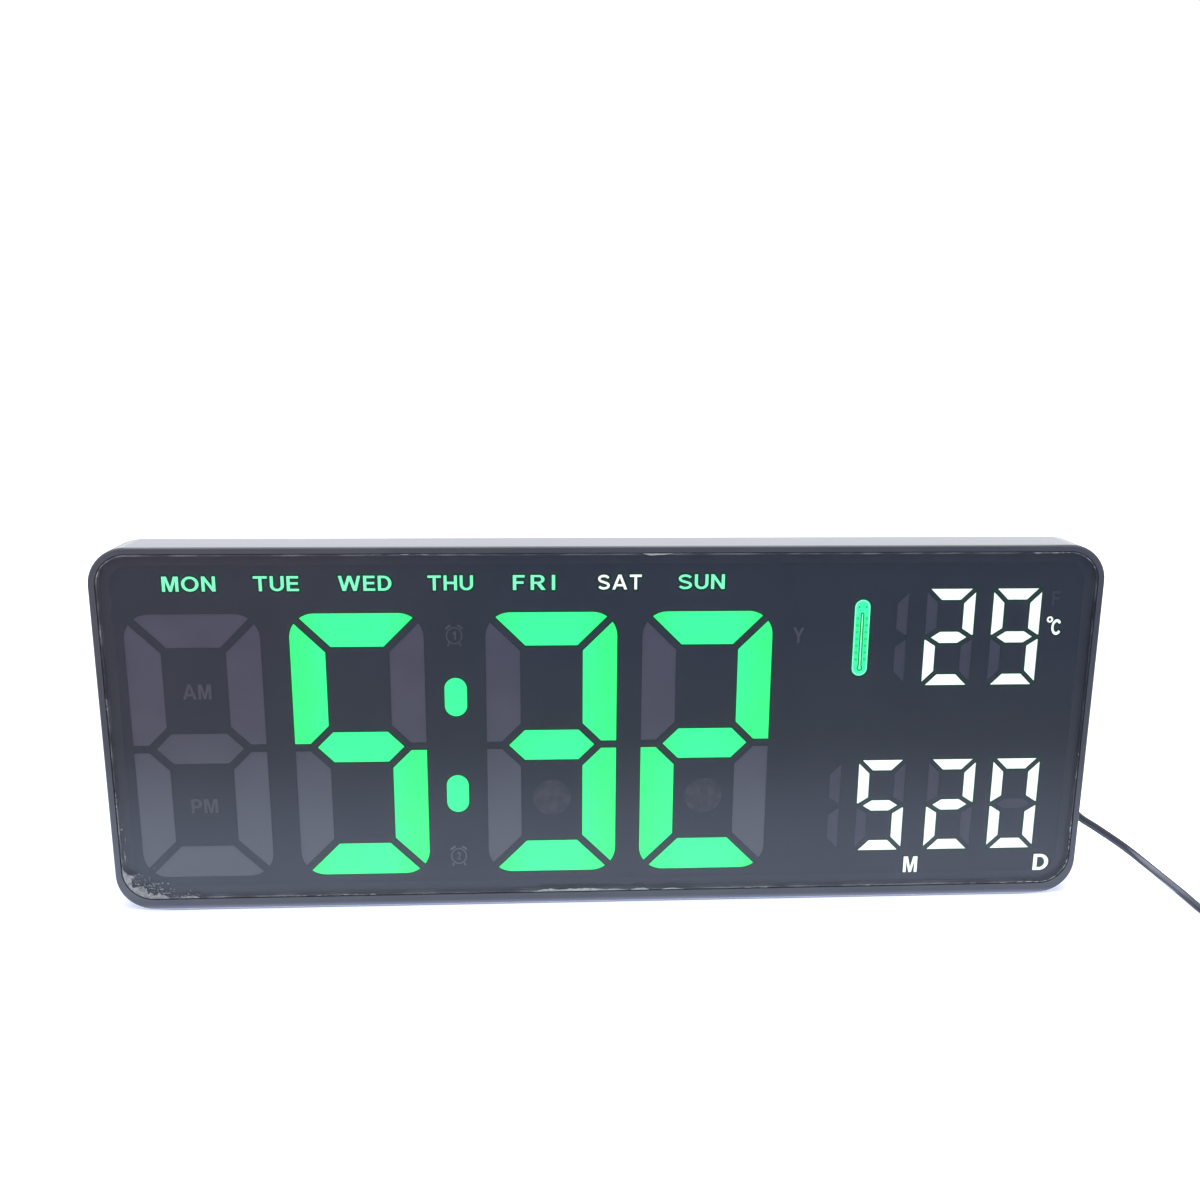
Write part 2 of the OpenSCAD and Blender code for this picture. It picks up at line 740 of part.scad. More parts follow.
module date_lit() {
    color("white") diffuser() {
        segments(["a", "f", "g", "c", "d"], date_xs[1], dates_z, small_style);
        segments(["a", "b", "g", "e", "d"], date_xs[2], dates_z, small_style);
        segments(["a", "b", "c", "d", "e", "f"], date_xs[3], dates_z, small_style);
    }
}

module date_unlit() {
    color("#54515f") diffuser() {
        segments(right_names, date_xs[0], dates_z, small_style);
        segments(["b", "e"], date_xs[1], dates_z, small_style);
        segments(["c", "f"], date_xs[2], dates_z, small_style);
        segments(["g"], date_xs[3], dates_z, small_style);
    }
}

module thermometer_window() {
    color("#49ff8c") diffuser() pill(thermometer_x, temperature_z, fit * thermometer_w, fit * thermometer_h);
}

module weekday_guides() {
    color("#8affb8") diffuser() day_shapes();
}

module legend_guides() {
    color("#c8c8cc") diffuser() legend_shapes();
}

module sensor_windows() {
    color("#3c3a46") diffuser() for (x = sensor_xs) translate([x, sensor_z]) circle(sensor_r);
}

module circuit_board() {
    color("#1f5a34") difference() {
        slab(y_board, y_board_back) rounded(reflector_w - 2 * board_clear, reflector_z0 + board_clear,
            reflector_z1 - board_clear, window_r - board_clear);
        for (p = board_screw_places)
            disc(p[0], p[1], screw_r + hole_clear, y_board - over, y_board_back + over);
    }
}

// Middles of a digit's segments, each with whether the segment stands upright
function segment_middles(style) = let (x = style[0] / 2 - style[2] / 2, h = style[1] / 2, t = style[2] / 2)
    [[0, h - t, 0], [0, t - h, 0], [0, 0, 0], [-x, h / 2, 1], [x, h / 2, 1], [-x, -h / 2, 1], [x, -h / 2, 1]];

module chip_row(x, z, upright, count, step) {
    for (k = [0:count - 1]) let (s = (k - (count - 1) / 2) * step)
        block(x + (upright ? 0 : s), z + (upright ? s : 0), led_w, led_w, y_board - led_h, y_board);
}

module led_chips() {
    big_step = digit_style[1] / 10;
    color("#f2e9a0") {
        for (x = [hour_tens_x, hour_units_x, minute_tens_x, minute_units_x])
            for (m = segment_middles(digit_style)) chip_row(x + m[0], digits_z + m[1], m[2], 2, big_step);
        for (k = [1, 2]) for (m = segment_middles(small_style))
            chip_row(temperature_xs[k] + m[0], temperature_z + m[1], m[2], 1, 0);
        for (k = [1, 2, 3]) for (m = segment_middles(small_style))
            chip_row(date_xs[k] + m[0], dates_z + m[1], m[2], 1, 0);
        for (s = [-1, 1]) chip_row(colon_x, digits_z + s * colon_rise, 0, 1, 0);
        for (x = day_xs) chip_row(x, day_z, 0, 2, day_guide[0] / 3);
        for (p = legend_places) chip_row(p[0], p[1], 0, 1, 0);
        chip_row(thermometer_x, temperature_z, 1, 2, fit * thermometer_h / 2);
    }
}

// Flat chip on the back of the board, with a row of legs on both long sides
module chip(place, w, h, legs) {
    x = place[0];
    z = place[1];
    body_t = 1.8;
    leg_t = 0.3;
    leg_l = 1.4;
    pitch = w / legs;
    block(x, z, w, h, y_board_back + leg_t, y_board_back + leg_t + body_t);
    for (s = [-1, 1]) for (k = [0:legs - 1])
        block(x + (k - (legs - 1) / 2) * pitch, z + s * (h / 2 + leg_l / 2 - leg_t / 2), pitch / 3,
            leg_l + leg_t, y_board_back, y_board_back + leg_t + body_t / 2);
}

module controller_chip() {
    color("#222226") chip(controller_place, controller_w, controller_h, 14);
}

module driver_chips() {
    color("#222226") for (x = driver_xs) chip([x, driver_z], driver_w, driver_h, 8);
}

module clock_crystal() {
    can_r = 1.5;
    can_l = 6;
    color("#b9bcc2") translate([crystal_place[0], y_board_back + can_r, crystal_place[1]])
        rotate([0, 90, 0]) cylinder(h = can_l, r = can_r);
}

module buzzer() {
    height = 5.5;
    hole_r = 1.2;
    hole_t = 1.5;
    color("#1a1a1c") difference() {
        disc(vent_x, vent_z, buzzer_d / 2, y_board_back, y_board_back + height);
        disc(vent_x, vent_z, hole_r, y_board_back + height - hole_t, y_board_back + height + over);
    }
}

module ir_receiver() {
    body_w = 5;
    body_h = 6;
    body_t = 2.4;
    lens_r = 1.9;
    color("#18181c") {
        block(sensor_xs[0], sensor_z, body_w, body_h, y_board - body_t, y_board);
        translate([sensor_xs[0], y_board - body_t, sensor_z]) sphere(lens_r);
    }
}

module light_sensor() {
    cell_r = 2.5;
    height = 2;
    color("#c9743a") disc(sensor_xs[1], sensor_z, cell_r, y_board - height, y_board);
}

module temperature_sensor() {
    can_r = 2.3;
    can_l = 4.6;
    color("#202024") slab(y_board_back, y_board_back + can_l) translate([thermistor_x, vent_z])
        difference() {
            circle(can_r);
            translate([-can_r, can_r / 2]) square([2 * can_r, can_r]);
        }
}

module capacitors() {
    color("#2b3a66") for (x = capacitor_xs)
        disc(x, capacitor_z, capacitor_r, y_board_back, y_board_back + capacitor_h);
}

function button_place(k) = button_x + k * button_pitch;

module tact_switches() {
    color("#2a2a2e") for (k = [0:button_count - 1]) {
        block(button_place(k), button_z, switch_w, switch_w, y_board_back, y_board_back + switch_h);
        disc(button_place(k), button_z, plunger_r, y_board_back + switch_h - over,
            y_board_back + switch_h + plunger_h);
    }
}

module coin_cell_holder() {
    holder_r = cell_d / 2 + cell_clear + holder_wall;
    color("#d8d4c8") difference() {
        disc(-cap_x, cap_z, holder_r, y_board_back, y_board_back + holder_floor + cell_t * holder_share);
        disc(-cap_x, cap_z, cell_d / 2 + cell_clear, y_board_back + holder_floor,
            y_board_back + holder_floor + cell_t + over);
    }
}

module coin_cell() {
    lip = 0.6;
    y0 = y_board_back + holder_floor;
    color("#c9ccd2") {
        disc(-cap_x, cap_z, cell_d / 2 - lip, y0, y0 + lip);
        disc(-cap_x, cap_z, cell_d / 2, y0 + lip, y0 + cell_t);
    }
}

module power_connector() {
    color("#efe9d8") block(socket_x, exit_z, socket_w, socket_h, y_board_back, y_board_back + socket_t);
}

module power_wires() {
    wire_side = socket_x + socket_w / 2;
    y_socket = y_board_back + socket_t / 2;
    gland_in = hump_side - cover_t - flange_t;
    span = gland_in - wire_side;
    color("#b02a2a") for (s = [-1, 1]) let (z = exit_z + s * wire_apart)
        tube([[wire_side, y_socket, z], [wire_side + 0.2 * span, y_socket, z],
            [wire_side + 0.4 * span, y_socket + 0.3 * (lead_y - y_socket), z],
            [wire_side + 0.6 * span, y_socket + 0.7 * (lead_y - y_socket), z],
            [wire_side + 0.8 * span, lead_y, z], [gland_in, lead_y, z]], wire_d, lead_sides);
}

// Lug for a foot's pin, at height z0 to z1
module foot_lug(x, z0, z1) {
    translate([x, y_pin, z0]) cylinder(h = z1 - z0, r = knuckle_r);
    translate([x - knuckle_r, y_back - cover_t / 2, z0])
        cube([2 * knuckle_r, foot_out + cover_t / 2, z1 - z0]);
}

module keyhole(x) {
    slab(y_hump_in - over, y_hump + over) translate([x, keyhole_z]) {
        circle(keyhole_r);
        translate([-keyslot_r, 0]) square([2 * keyslot_r, keyslot_l]);
        translate([0, keyslot_l]) circle(keyslot_r);
    }
}

module cap_bar(r, w, y0, y1) {
    intersection() {
        block(-cap_x, cap_z, 2 * r, w, y0, y1);
        disc(-cap_x, cap_z, r, y0, y1);
    }
}

module about_cap(turn) {
    translate([-cap_x, 0, cap_z]) rotate([0, turn, 0]) translate([cap_x, 0, -cap_z]) children();
}

module back_cover() {
    color("#212227") difference() {
        union() {
            slab(y_cover, y_back) rounded(cover_w, wall + cover_clear, body_h - wall - cover_clear,
                corner_r - wall - cover_clear);
            slab(y_back - over, y_hump) rounded(raised_w, raised_z, raised_z + raised_h, hump_r);
            for (p = post_places) disc(p[0], p[1], post_r, y_board_back + post_gap, y_cover + over);
            for (x = [-foot_x, foot_x]) {
                foot_lug(x, lug_z0, lug_z1);
                foot_lug(x, lug_z2, lug_z3);
            }
        }
        slab(y_cover - over, y_hump_in) rounded(raised_w - 2 * cover_t, raised_z + cover_t,
            raised_z + raised_h - cover_t, hump_r - cover_t);
        for (x = boss_xs) for (z = [boss_z, body_h - boss_z]) {
            disc(x, z, screw_r + hole_clear, y_cover - over, y_back + over);
            disc(x, z, screw_head_r + seat_clear, y_back - screw_head_t - seat_clear, y_back + over);
        }
        for (x = [-foot_x, foot_x]) translate([x, y_pin, lug_z0 - over])
            cylinder(h = lug_z3 - lug_z0 + 2 * over, r = foot_pin_r + lug_clear);
        for (s = [-1, 1]) keyhole(s * keyhole_spacing / 2);
        for (k = [0:button_count - 1])
            disc(button_place(k), button_z, button_r + button_clear, y_hump_in - over, y_hump + over);
        disc(-cap_x, cap_z, cap_r + cap_clear, y_hump_in - over, y_hump + over);
        about_cap(cap_turn) cap_bar(cap_r + bar_over + bar_clear, bar_w + 2 * bar_clear, y_hump_in - over,
            y_hump + over);
        for (k = [0:vent_count - 1])
            block(vent_x + (k - (vent_count - 1) / 2) * vent_pitch, vent_z, vent_w, vent_l,
                y_hump_in - over, y_hump + over);
        translate([hump_side - cover_t - over, lead_y, exit_z]) rotate([0, 90, 0])
            cylinder(h = cover_t + 2 * over, r = neck_r + neck_clear);
    }
}

// Screw along +Y with its head at the back and a cross in the head
module screw(x, z, head_back, length) {
    cross_w = 0.5;
    cross_l = 1.3 * screw_head_r;
    cross_t = 0.6 * screw_head_t;
    difference() {
        union() {
            disc(x, z, screw_head_r, head_back - screw_head_t, head_back);
            disc(x, z, screw_r, head_back - screw_head_t - length, head_back - screw_head_t / 2);
        }
        block(x, z, cross_l, cross_w, head_back - cross_t, head_back + over);
        block(x, z, cross_w, cross_l, head_back - cross_t, head_back + over);
    }
}

module cover_screws() {
    color("#8d9096") for (x = boss_xs) for (z = [boss_z, body_h - boss_z])
        screw(x, z, y_back - seat_clear, screw_l);
}

module board_screws() {
    color("#8d9096") for (p = board_screw_places)
        screw(p[0], p[1], y_board_back + screw_head_t, board_screw_l + board_t - screw_head_t / 2);
}

module foot_pin(side) {
    color("#b9bcc2") translate([side * foot_x, y_pin, lug_z0]) cylinder(h = lug_z3 - lug_z0, r = foot_pin_r);
}

// A foot swings on its upright pin and points backwards when it is out
module foot(side) {
    nose = 4;
    color("#1e1f23") translate([side * foot_x, y_pin, 0]) difference() {
        union() {
            translate([0, 0, lug_z1 + lug_gap]) cylinder(h = lug_z2 - lug_z1 - 2 * lug_gap, r = knuckle_r);
            translate([-foot_t / 2, 0, lug_z1 + lug_gap])
                cube([foot_t, blade_start + over, lug_z2 - lug_z1 - 2 * lug_gap]);
            translate([-foot_t / 2, 0, 0]) rotate([90, 0, 90]) linear_extrude(foot_t) polygon([
                [blade_start, pad_proud], [foot_l - nose, pad_proud], [foot_l, pad_proud + nose],
                [foot_l, foot_h / 2 - nose / 2], [foot_l - nose, foot_h / 2],
                [foot_l / 2, foot_h - nose], [blade_start + nose, foot_h], [blade_start, foot_h]]);
        }
        translate([0, 0, lug_z1]) cylinder(h = lug_z2 - lug_z1, r = foot_pin_r + pin_clear);
        translate([-pad_w / 2 - pad_clear, pad_start - pad_clear, pad_proud - over])
            cube([pad_w + 2 * pad_clear, pad_l + 2 * pad_clear, pad_t - pad_proud + over]);
    }
}

module foot_pad(side) {
    color("#3a3a3c") translate([side * foot_x - pad_w / 2, y_pin + pad_start, 0]) cube([pad_w, pad_l, pad_t]);
}

module button(k) {
    x = button_place(k);
    color("#2c2d33") {
        disc(x, button_z, button_r, y_hump_in - button_seat - over / 2, y_hump + button_proud);
        disc(x, button_z, button_flange_r, y_hump_in - button_seat - button_flange_t,
            y_hump_in - button_seat);
        disc(x, button_z, stem_r, stem_end, y_hump_in - button_seat - button_flange_t / 2);
    }
}

module battery_cap() {
    color("#26272c") difference() {
        union() {
            disc(-cap_x, cap_z, cap_r, y_hump_in, y_hump);
            disc(-cap_x, cap_z, cap_hub_r, y_hump_in - bar_gap - bar_t, y_hump_in + over / 2);
            cap_bar(cap_r + bar_over, bar_w, y_hump_in - bar_gap - bar_t, y_hump_in - bar_gap);
        }
        block(-cap_x, cap_z, coin_slot_l, coin_slot_w, y_hump - coin_slot_t, y_hump + over);
    }
}

module lead_grommet() {
    flange_r = neck_r + 0.5;
    collar_r = neck_r + 1;
    collar_t = 1.5;
    color("#17181b") translate([hump_side, lead_y, exit_z]) rotate([0, 90, 0]) {
        translate([0, 0, -cover_t - flange_t]) cylinder(h = flange_t, r = flange_r);
        translate([0, 0, -cover_t - flange_t / 2]) cylinder(h = cover_t + flange_t, r = neck_r);
        cylinder(h = collar_t, r = collar_r);
        translate([0, 0, collar_t / 2]) cylinder(h = relief_l - collar_t / 2, r1 = collar_r, r2 = neck_r);
    }
}

module power_lead() {
    color("#2a2b33") tube(lead_route, lead_d, lead_sides);
}

module lead_coil() {
    color("#2a2b33") tube(coil_route, lead_d, coil_sides);
}

module lead_tail() {
    color("#2a2b33") tube(tail_route, lead_d, lead_sides);
}

// Strap round the bundle of turns
module coil_tie() {
    slack = 0.3;
    inner_slack = 1;
    r = 2;
    y0 = coil_y + coil_r - coil_pitch * coil_in - lead_r - inner_slack;
    y1 = coil_y + coil_r + lead_r + slack;
    z0 = coil_z - lead_r - slack;
    z1 = coil_z + (coil_layers - 1) * coil_pitch + lead_r + slack;
    color("#101012") translate([coil_x - tie_w / 2, (y0 + y1) / 2, 0]) rotate([90, 0, 90])
        linear_extrude(tie_w) difference() {
            rounded(y1 - y0 + 2 * tie_t, z0 - tie_t, z1 + tie_t, r + tie_t);
            rounded(y1 - y0, z0, z1, r);
        }
}

module usb_plug_grip() {
    r = 2;
    groove_count = 4;
    groove_t = 0.3;
    groove_w = 1.4;
    groove_step = 3;
    groove_start = 5;
    y0 = plug_start[1] + plug_relief_l;
    color("#1a1b1f") {
        translate(plug_start) rotate([-90, 0, 0])
            cylinder(h = plug_relief_l + over / 2, r1 = neck_r, r2 = neck_r + 1);
        difference() {
            translate([plug_start[0], 0, 0]) slab(y0, y0 + grip_l) rounded(grip_w, 0, grip_h, r);
            for (s = [-1, 1]) for (k = [0:groove_count - 1])
                translate([plug_start[0] + s * grip_w / 2 - groove_t, y0 + groove_start + groove_step * k, r])
                    cube([2 * groove_t, groove_w, grip_h - 2 * r]);
        }
    }
}

module usb_plug_shell() {
    y0 = plug_start[1] + plug_relief_l + grip_l;
    catch_w = 2.2;
    catch_x = 2.9;
    catch_y = 8;
    color("#c3c6cc") translate([plug_start[0], 0, plug_z]) difference() {
        block(0, 0, shell_w, shell_h, y0, y0 + shell_l);
        block(0, 0, shell_w - 2 * shell_wall, shell_h - 2 * shell_wall, y0 - over, y0 + shell_l + over);
        for (s = [-1, 1]) translate([s * catch_x - catch_w / 2, y0 + shell_l - catch_y, -shell_h])
            cube([catch_w, catch_w, 2 * shell_h]);
    }
}

module usb_plug_tongue() {
    y0 = plug_start[1] + plug_relief_l + grip_l;
    tongue_t = 1.9;
    tongue_back = 1;
    tongue_clear = 0.1;
    inset = shell_wall + tongue_clear;
    color("#f0efe9") translate([plug_start[0], 0, plug_z - shell_h / 2 + inset]) {
        block(0, tongue_t / 2, shell_w - 2 * inset, tongue_t, y0, y0 + shell_l - tongue_back);
    }
}

front_frame();
front_panel();
panel_tape();
mask_film();
reflector();
hour_tens_segments();
hour_units_lit();
hour_units_unlit();
minute_tens_lit();
minute_tens_unlit();
minute_units_lit();
minute_units_unlit();
colon_dots();
temperature_lit();
temperature_unlit();
date_lit();
date_unlit();
thermometer_window();
weekday_guides();
legend_guides();
sensor_windows();
circuit_board();
led_chips();
controller_chip();
driver_chips();
clock_crystal();
buzzer();
ir_receiver();
light_sensor();
temperature_sensor();
capacitors();
tact_switches();
coin_cell_holder();
coin_cell();
power_connector();
power_wires();
back_cover();
cover_screws();
board_screws();
foot_pin(-1);  // left_foot_pin
foot_pin(1);  // right_foot_pin
foot(-1);  // left_foot
foot(1);  // right_foot
foot_pad(-1);  // left_foot_pad
foot_pad(1);  // right_foot_pad
button(0);  // button_mode
button(1);  // button_up
button(2);  // button_down
button(3);  // button_alarm
button(4);  // button_dimmer
battery_cap();
lead_grommet();
power_lead();
lead_coil();
lead_tail();
coil_tie();
usb_plug_grip();
usb_plug_shell();
usb_plug_tongue();
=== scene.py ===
"""Looks of a wide digital LED clock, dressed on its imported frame.

Lengths are metres in the frame's own axes: X right, Y to the back, Z up.
The sub-assemblies below hold their sizes in millimetres, as the source does.
"""

import logging
import math
import random
from dataclasses import dataclass
from enum import Enum
from typing import Iterable, Sequence

import bmesh
import bpy
from mathutils import Matrix, Vector
from mathutils.geometry import delaunay_2d_cdt

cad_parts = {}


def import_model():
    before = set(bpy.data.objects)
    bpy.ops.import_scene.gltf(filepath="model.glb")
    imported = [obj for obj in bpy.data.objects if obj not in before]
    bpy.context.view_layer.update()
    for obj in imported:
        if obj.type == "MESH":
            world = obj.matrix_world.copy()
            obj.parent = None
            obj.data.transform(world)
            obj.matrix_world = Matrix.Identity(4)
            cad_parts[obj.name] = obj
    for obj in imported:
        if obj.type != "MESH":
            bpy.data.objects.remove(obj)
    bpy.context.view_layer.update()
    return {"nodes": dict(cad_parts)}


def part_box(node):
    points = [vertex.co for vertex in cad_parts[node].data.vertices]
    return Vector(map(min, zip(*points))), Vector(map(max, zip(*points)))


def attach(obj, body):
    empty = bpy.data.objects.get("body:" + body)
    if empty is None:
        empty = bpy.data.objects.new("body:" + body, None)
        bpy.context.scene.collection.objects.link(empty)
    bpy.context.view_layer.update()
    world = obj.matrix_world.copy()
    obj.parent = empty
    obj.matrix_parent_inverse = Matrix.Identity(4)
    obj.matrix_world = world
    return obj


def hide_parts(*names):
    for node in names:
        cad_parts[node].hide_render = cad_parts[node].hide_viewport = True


LOG = logging.getLogger("led_clock")
MM = 0.001
# Corners nearer than this, in metres, are one
MERGE = 1e-6
# A face looks to the front where its normal's Y is below this
FRONT_NORMAL = -0.99
# A mitred corner stands out by no more than two over this
MITRE = 0.4
FULL_TURN = 360.0

Colour = tuple[float, float, float]
Point2 = tuple[float, float]
Point3 = tuple[float, float, float]
Box2 = tuple[float, float, float, float]
Socket = bpy.types.NodeSocket
Nodes = dict[str, bpy.types.Object]


def millimetres(point: Sequence[float]) -> Vector:
    """Give a point written in millimetres as a vector in metres."""
    return Vector(point) * MM


def link_object(name: str, data: bpy.types.ID) -> bpy.types.Object:
    """Put mesh, curve or light data into the scene as an object.

    Args:
        name: The piece's name.
        data: The data block it shows.

    Returns:
        The new object, at the origin.
    """
    made = bpy.data.objects.new(name, data)
    bpy.context.scene.collection.objects.link(made)
    return made


def dress(piece: bpy.types.Object, material: bpy.types.Material) -> None:
    """Give a piece one material in place of any it has."""
    piece.data.materials.clear()
    piece.data.materials.append(material)


def evaluated(piece: bpy.types.Object) -> bpy.types.Mesh:
    """Give the mesh that a piece shows."""
    graph = bpy.context.evaluated_depsgraph_get()
    return bpy.data.meshes.new_from_object(piece.evaluated_get(graph))


def plain_mesh(piece: bpy.types.Object) -> bpy.types.Object:
    """Turn a piece with modifiers into the plain mesh that they make.

    Args:
        piece: The piece.

    Returns:
        The same piece, with the new mesh.
    """
    mesh = evaluated(piece)
    piece.modifiers.clear()
    piece.data = mesh
    return piece


def from_bmesh(name: str, mesh: bmesh.types.BMesh) -> bpy.types.Object:
    """Turn a finished build mesh, its faces made to look outwards, into an object.

    Args:
        name: The piece's name.
        mesh: The build mesh, which is freed.

    Returns:
        The new object.
    """
    bmesh.ops.recalc_face_normals(mesh, faces=mesh.faces)
    made = bpy.data.meshes.new(name)
    mesh.to_mesh(made)
    mesh.free()
    return link_object(name, made)


class ShaderTree:
    """A shader's node tree, with short calls for its nodes."""

    def __init__(self, tree: bpy.types.NodeTree) -> None:
        """Take the tree that the nodes go into."""
        self.nodes, self.links = tree.nodes, tree.links

    def feed(self, socket: Socket, value: object) -> None:
        """Set a socket to a number or colour, or link another socket to it.

        Args:
            socket: The socket that takes it.
            value: A number, a colour or a socket.
        """
        if isinstance(value, bpy.types.NodeSocket):
            self.links.new(value, socket)
        elif isinstance(value, tuple) and len(value) == 3 and socket.type == "RGBA":
            socket.default_value = (*value, 1.0)
        else:
            socket.default_value = value

    def sum(self, kind: str, first: object, second: object = 0.0) -> Socket:
        """Give the result of one Math node.

        Args:
            kind: The node's operation.
            first: The first number or socket.
            second: The second one.

        Returns:
            The result's socket.
        """
        node = self.nodes.new("ShaderNodeMath")
        node.operation = kind
        self.feed(node.inputs[0], first)
        self.feed(node.inputs[1], second)
        return node.outputs[0]

    def times(self, first: object, second: object) -> Socket:
        """Give the product of two numbers."""
        return self.sum("MULTIPLY", first, second)

    def vector(self, kind: str, first: object, second: object = (0, 0, 0)) -> Socket:
        """Give the result of one Vector Math node, its number where it has one.

        Args:
            kind: The node's operation.
            first: The first vector or socket.
            second: The second one.

        Returns:
            The result's socket.
        """
        node = self.nodes.new("ShaderNodeVectorMath")
        node.operation = kind
        self.feed(node.inputs[0], first)
        self.feed(node.inputs[1], second)
        return node.outputs["Value" if kind in ("LENGTH", "DOT_PRODUCT") else "Vector"]

    def axes(self, source: Socket) -> tuple[Socket, Socket, Socket]:
        """Split a vector into its three numbers.

        Args:
            source: The vector's socket.

        Returns:
            The sockets of X, Y and Z.
        """
        node = self.nodes.new("ShaderNodeSeparateXYZ")
        self.feed(node.inputs[0], source)
        return tuple(node.outputs)

    def join(self, x: object, y: object, z: object) -> Socket:
        """Make a vector of three numbers.

        Args:
            x: The first number or socket.
            y: The second one.
            z: The third one.

        Returns:
            The vector's socket.
        """
        node = self.nodes.new("ShaderNodeCombineXYZ")
        for socket, value in zip(node.inputs, (x, y, z)):
            self.feed(socket, value)
        return node.outputs[0]

    def ramp(self, value: Socket, start: float, end: float, low: float = 0.0, high: float = 1.0) -> Socket:
        """Give low at start, high at end, and a smooth change between.

        Args:
            value: The socket that the ramp follows.
            start: The value at the ramp's start.
            end: The value at its end.
            low: The result at the start.
            high: The result at the end.

        Returns:
            The result's socket.
        """
        node = self.nodes.new("ShaderNodeMapRange")
        node.interpolation_type = "SMOOTHSTEP"
        for socket, number in zip(node.inputs[1:5], (start, end, low, high)):
            socket.default_value = number
        self.feed(node.inputs[0], value)
        return node.outputs[0]

    def mix(self, share: object, first: object, second: object) -> Socket:
        """Mix two colours.

        Args:
            share: The second colour's share.
            first: The colour where the share is 0.
            second: The colour where it is 1.

        Returns:
            The result's socket.
        """
        node = self.nodes.new("ShaderNodeMix")
        node.data_type = "RGBA"
        for index, value in ((0, share), (6, first), (7, second)):
            self.feed(node.inputs[index], value)
        return node.outputs[2]


class Paint(ShaderTree):
    """A material, with short calls for what finishes use."""

    def __init__(self, name: str) -> None:
        """Start a material with one Principled shader and Object coordinates.

        Args:
            name: The material's name.
        """
        self.material = bpy.data.materials.new(name)
        self.material.use_nodes = True
        super().__init__(self.material.node_tree)
        self.shader = self.nodes["Principled BSDF"]
        self.place = self.nodes.new("ShaderNodeTexCoord").outputs["Object"]

    def set(self, **values: object) -> "Paint":
        """Feed the shader's sockets, named with _ for each space.

        Args:
            **values: Numbers, colours or sockets.

        Returns:
            This paint.
        """
        for name, value in values.items():
            self.feed(self.shader.inputs[name.replace("_", " ")], value)
        return self

    def stretched(self, scale: Point3, turn: Point3 = (0, 0, 0)) -> Socket:
        """Give Object coordinates through a Mapping node.

        Args:
            scale: The factor along each axis.
            turn: The turn about each axis, in radians.

        Returns:
            The coordinates' socket.
        """
        node = self.nodes.new("ShaderNodeMapping")
        self.feed(node.inputs["Vector"], self.place)
        node.inputs["Scale"].default_value = scale
        node.inputs["Rotation"].default_value = turn
        return node.outputs[0]

    def noise(self, size: float, detail: float = 2.0, at: Socket | None = None) -> Socket:
        """Give noise whose blotches are about size metres across.

        Args:
            size: The blotches' size.
            detail: How many finer layers it has.
            at: The coordinates, Object ones where none are given.

        Returns:
            The noise, about 0.5 on average.
        """
        node = self.nodes.new("ShaderNodeTexNoise")
        self.feed(node.inputs["Vector"], at or self.place)
        node.inputs["Scale"].default_value = 1.0 / size
        node.inputs["Detail"].default_value = detail
        return node.outputs[0]

    def cells(self, size: float, at: Socket | None = None) -> Socket:
        """Give the distance to the nearest of points set about size metres apart.

        Args:
            size: The points' distance.
            at: The coordinates, Object ones where none are given.

        Returns:
            The distance's socket.
        """
        node = self.nodes.new("ShaderNodeTexVoronoi")
        self.feed(node.inputs["Vector"], at or self.place)
        node.inputs["Scale"].default_value = 1.0 / size
        return node.outputs["Distance"]

    def normal(self) -> Socket:
        """Give the surface's normal."""
        return self.nodes.new("ShaderNodeNewGeometry").outputs["Normal"]

    def bump(self, height: Socket, depth: float) -> Socket:
        """Give the normal of a surface raised by height times depth metres.

        Args:
            height: The height's socket.
            depth: The depth of a height of 1.

        Returns:
            The normal's socket.
        """
        node = self.nodes.new("ShaderNodeBump")
        node.inputs["Strength"].default_value = 1.0
        node.inputs["Distance"].default_value = depth
        self.feed(node.inputs["Height"], height)
        return node.outputs[0]

    def facing_up(self) -> Socket:
        """Give 1 on faces that look up and 0 on the others."""
        return self.ramp(self.axes(self.normal())[2], 0.75, 0.97)


@dataclass(frozen=True)
class Finish:
    """A moulded, turned or pressed surface: patchy colour, grain, and some dust.

    What looks up and to the front can take a paler tint, a painted highlight, and what is low down a paler,
    bluer tint, painted light from the floor's glare.
    """

    name: str
    light: Colour
    dark: Colour
    rough: Point2 = (0.3, 0.45)
    metal: float = 0.0
    patch: float = 0.012
    grain: float = 0.0006
    relief: float = 0.00001
    dust: float = 0.0
    painted_highlight: Colour | None = None
    foot: Colour | None = None

    def material(self) -> bpy.types.Material:
        """Build the material.

        Returns:
            The new material.
        """
        paint = Paint(self.name)
        patches = paint.ramp(paint.noise(self.patch, 4.0), 0.35, 0.65)
        colour = paint.mix(patches, self.dark, self.light)
        rough = paint.ramp(paint.noise(self.patch * 0.6, 5.0), 0.3, 0.7, *self.rough)
        # Low down the colour turns paler and bluer: painted light from the floor's glare
        if self.foot:
            colour = paint.mix(paint.ramp(paint.axes(paint.place)[2], 0.085, 0.02), colour, self.foot)
        if self.dust:
            specks = paint.ramp(paint.cells(0.0016), 0.2, 0.06)
            film = paint.ramp(paint.noise(0.02, 6.0), 0.4, 0.75, 0.0, 0.35)
            share = paint.times(paint.sum("MAXIMUM", specks, film), paint.facing_up())
            colour = paint.mix(paint.times(share, self.dust), colour, (0.52, 0.52, 0.5))
        # A painted highlight: a paler streak on what faces up and to the front, patchy, and fainter further
        # to the front
        if self.painted_highlight:
            highlight_facing = paint.ramp(paint.vector("DOT_PRODUCT", paint.normal(), (-0.5, -0.5, 0.7)), 0.74, 0.86)
            highlight_strength = paint.ramp(paint.noise(0.03, 2.0), 0.25, 0.5, 0.6, 1.0)
            highlight_fade = paint.ramp(paint.axes(paint.place)[1], -0.05, -0.036, 0.25, 1.0)
            highlight_strength = paint.times(highlight_strength, highlight_fade)
            colour = paint.mix(paint.times(highlight_facing, highlight_strength), colour, self.painted_highlight)
        paint.set(Base_Color=colour, Roughness=rough, Metallic=self.metal)
        paint.set(Normal=paint.bump(paint.noise(self.grain, 3.0), self.relief))
        return paint.material


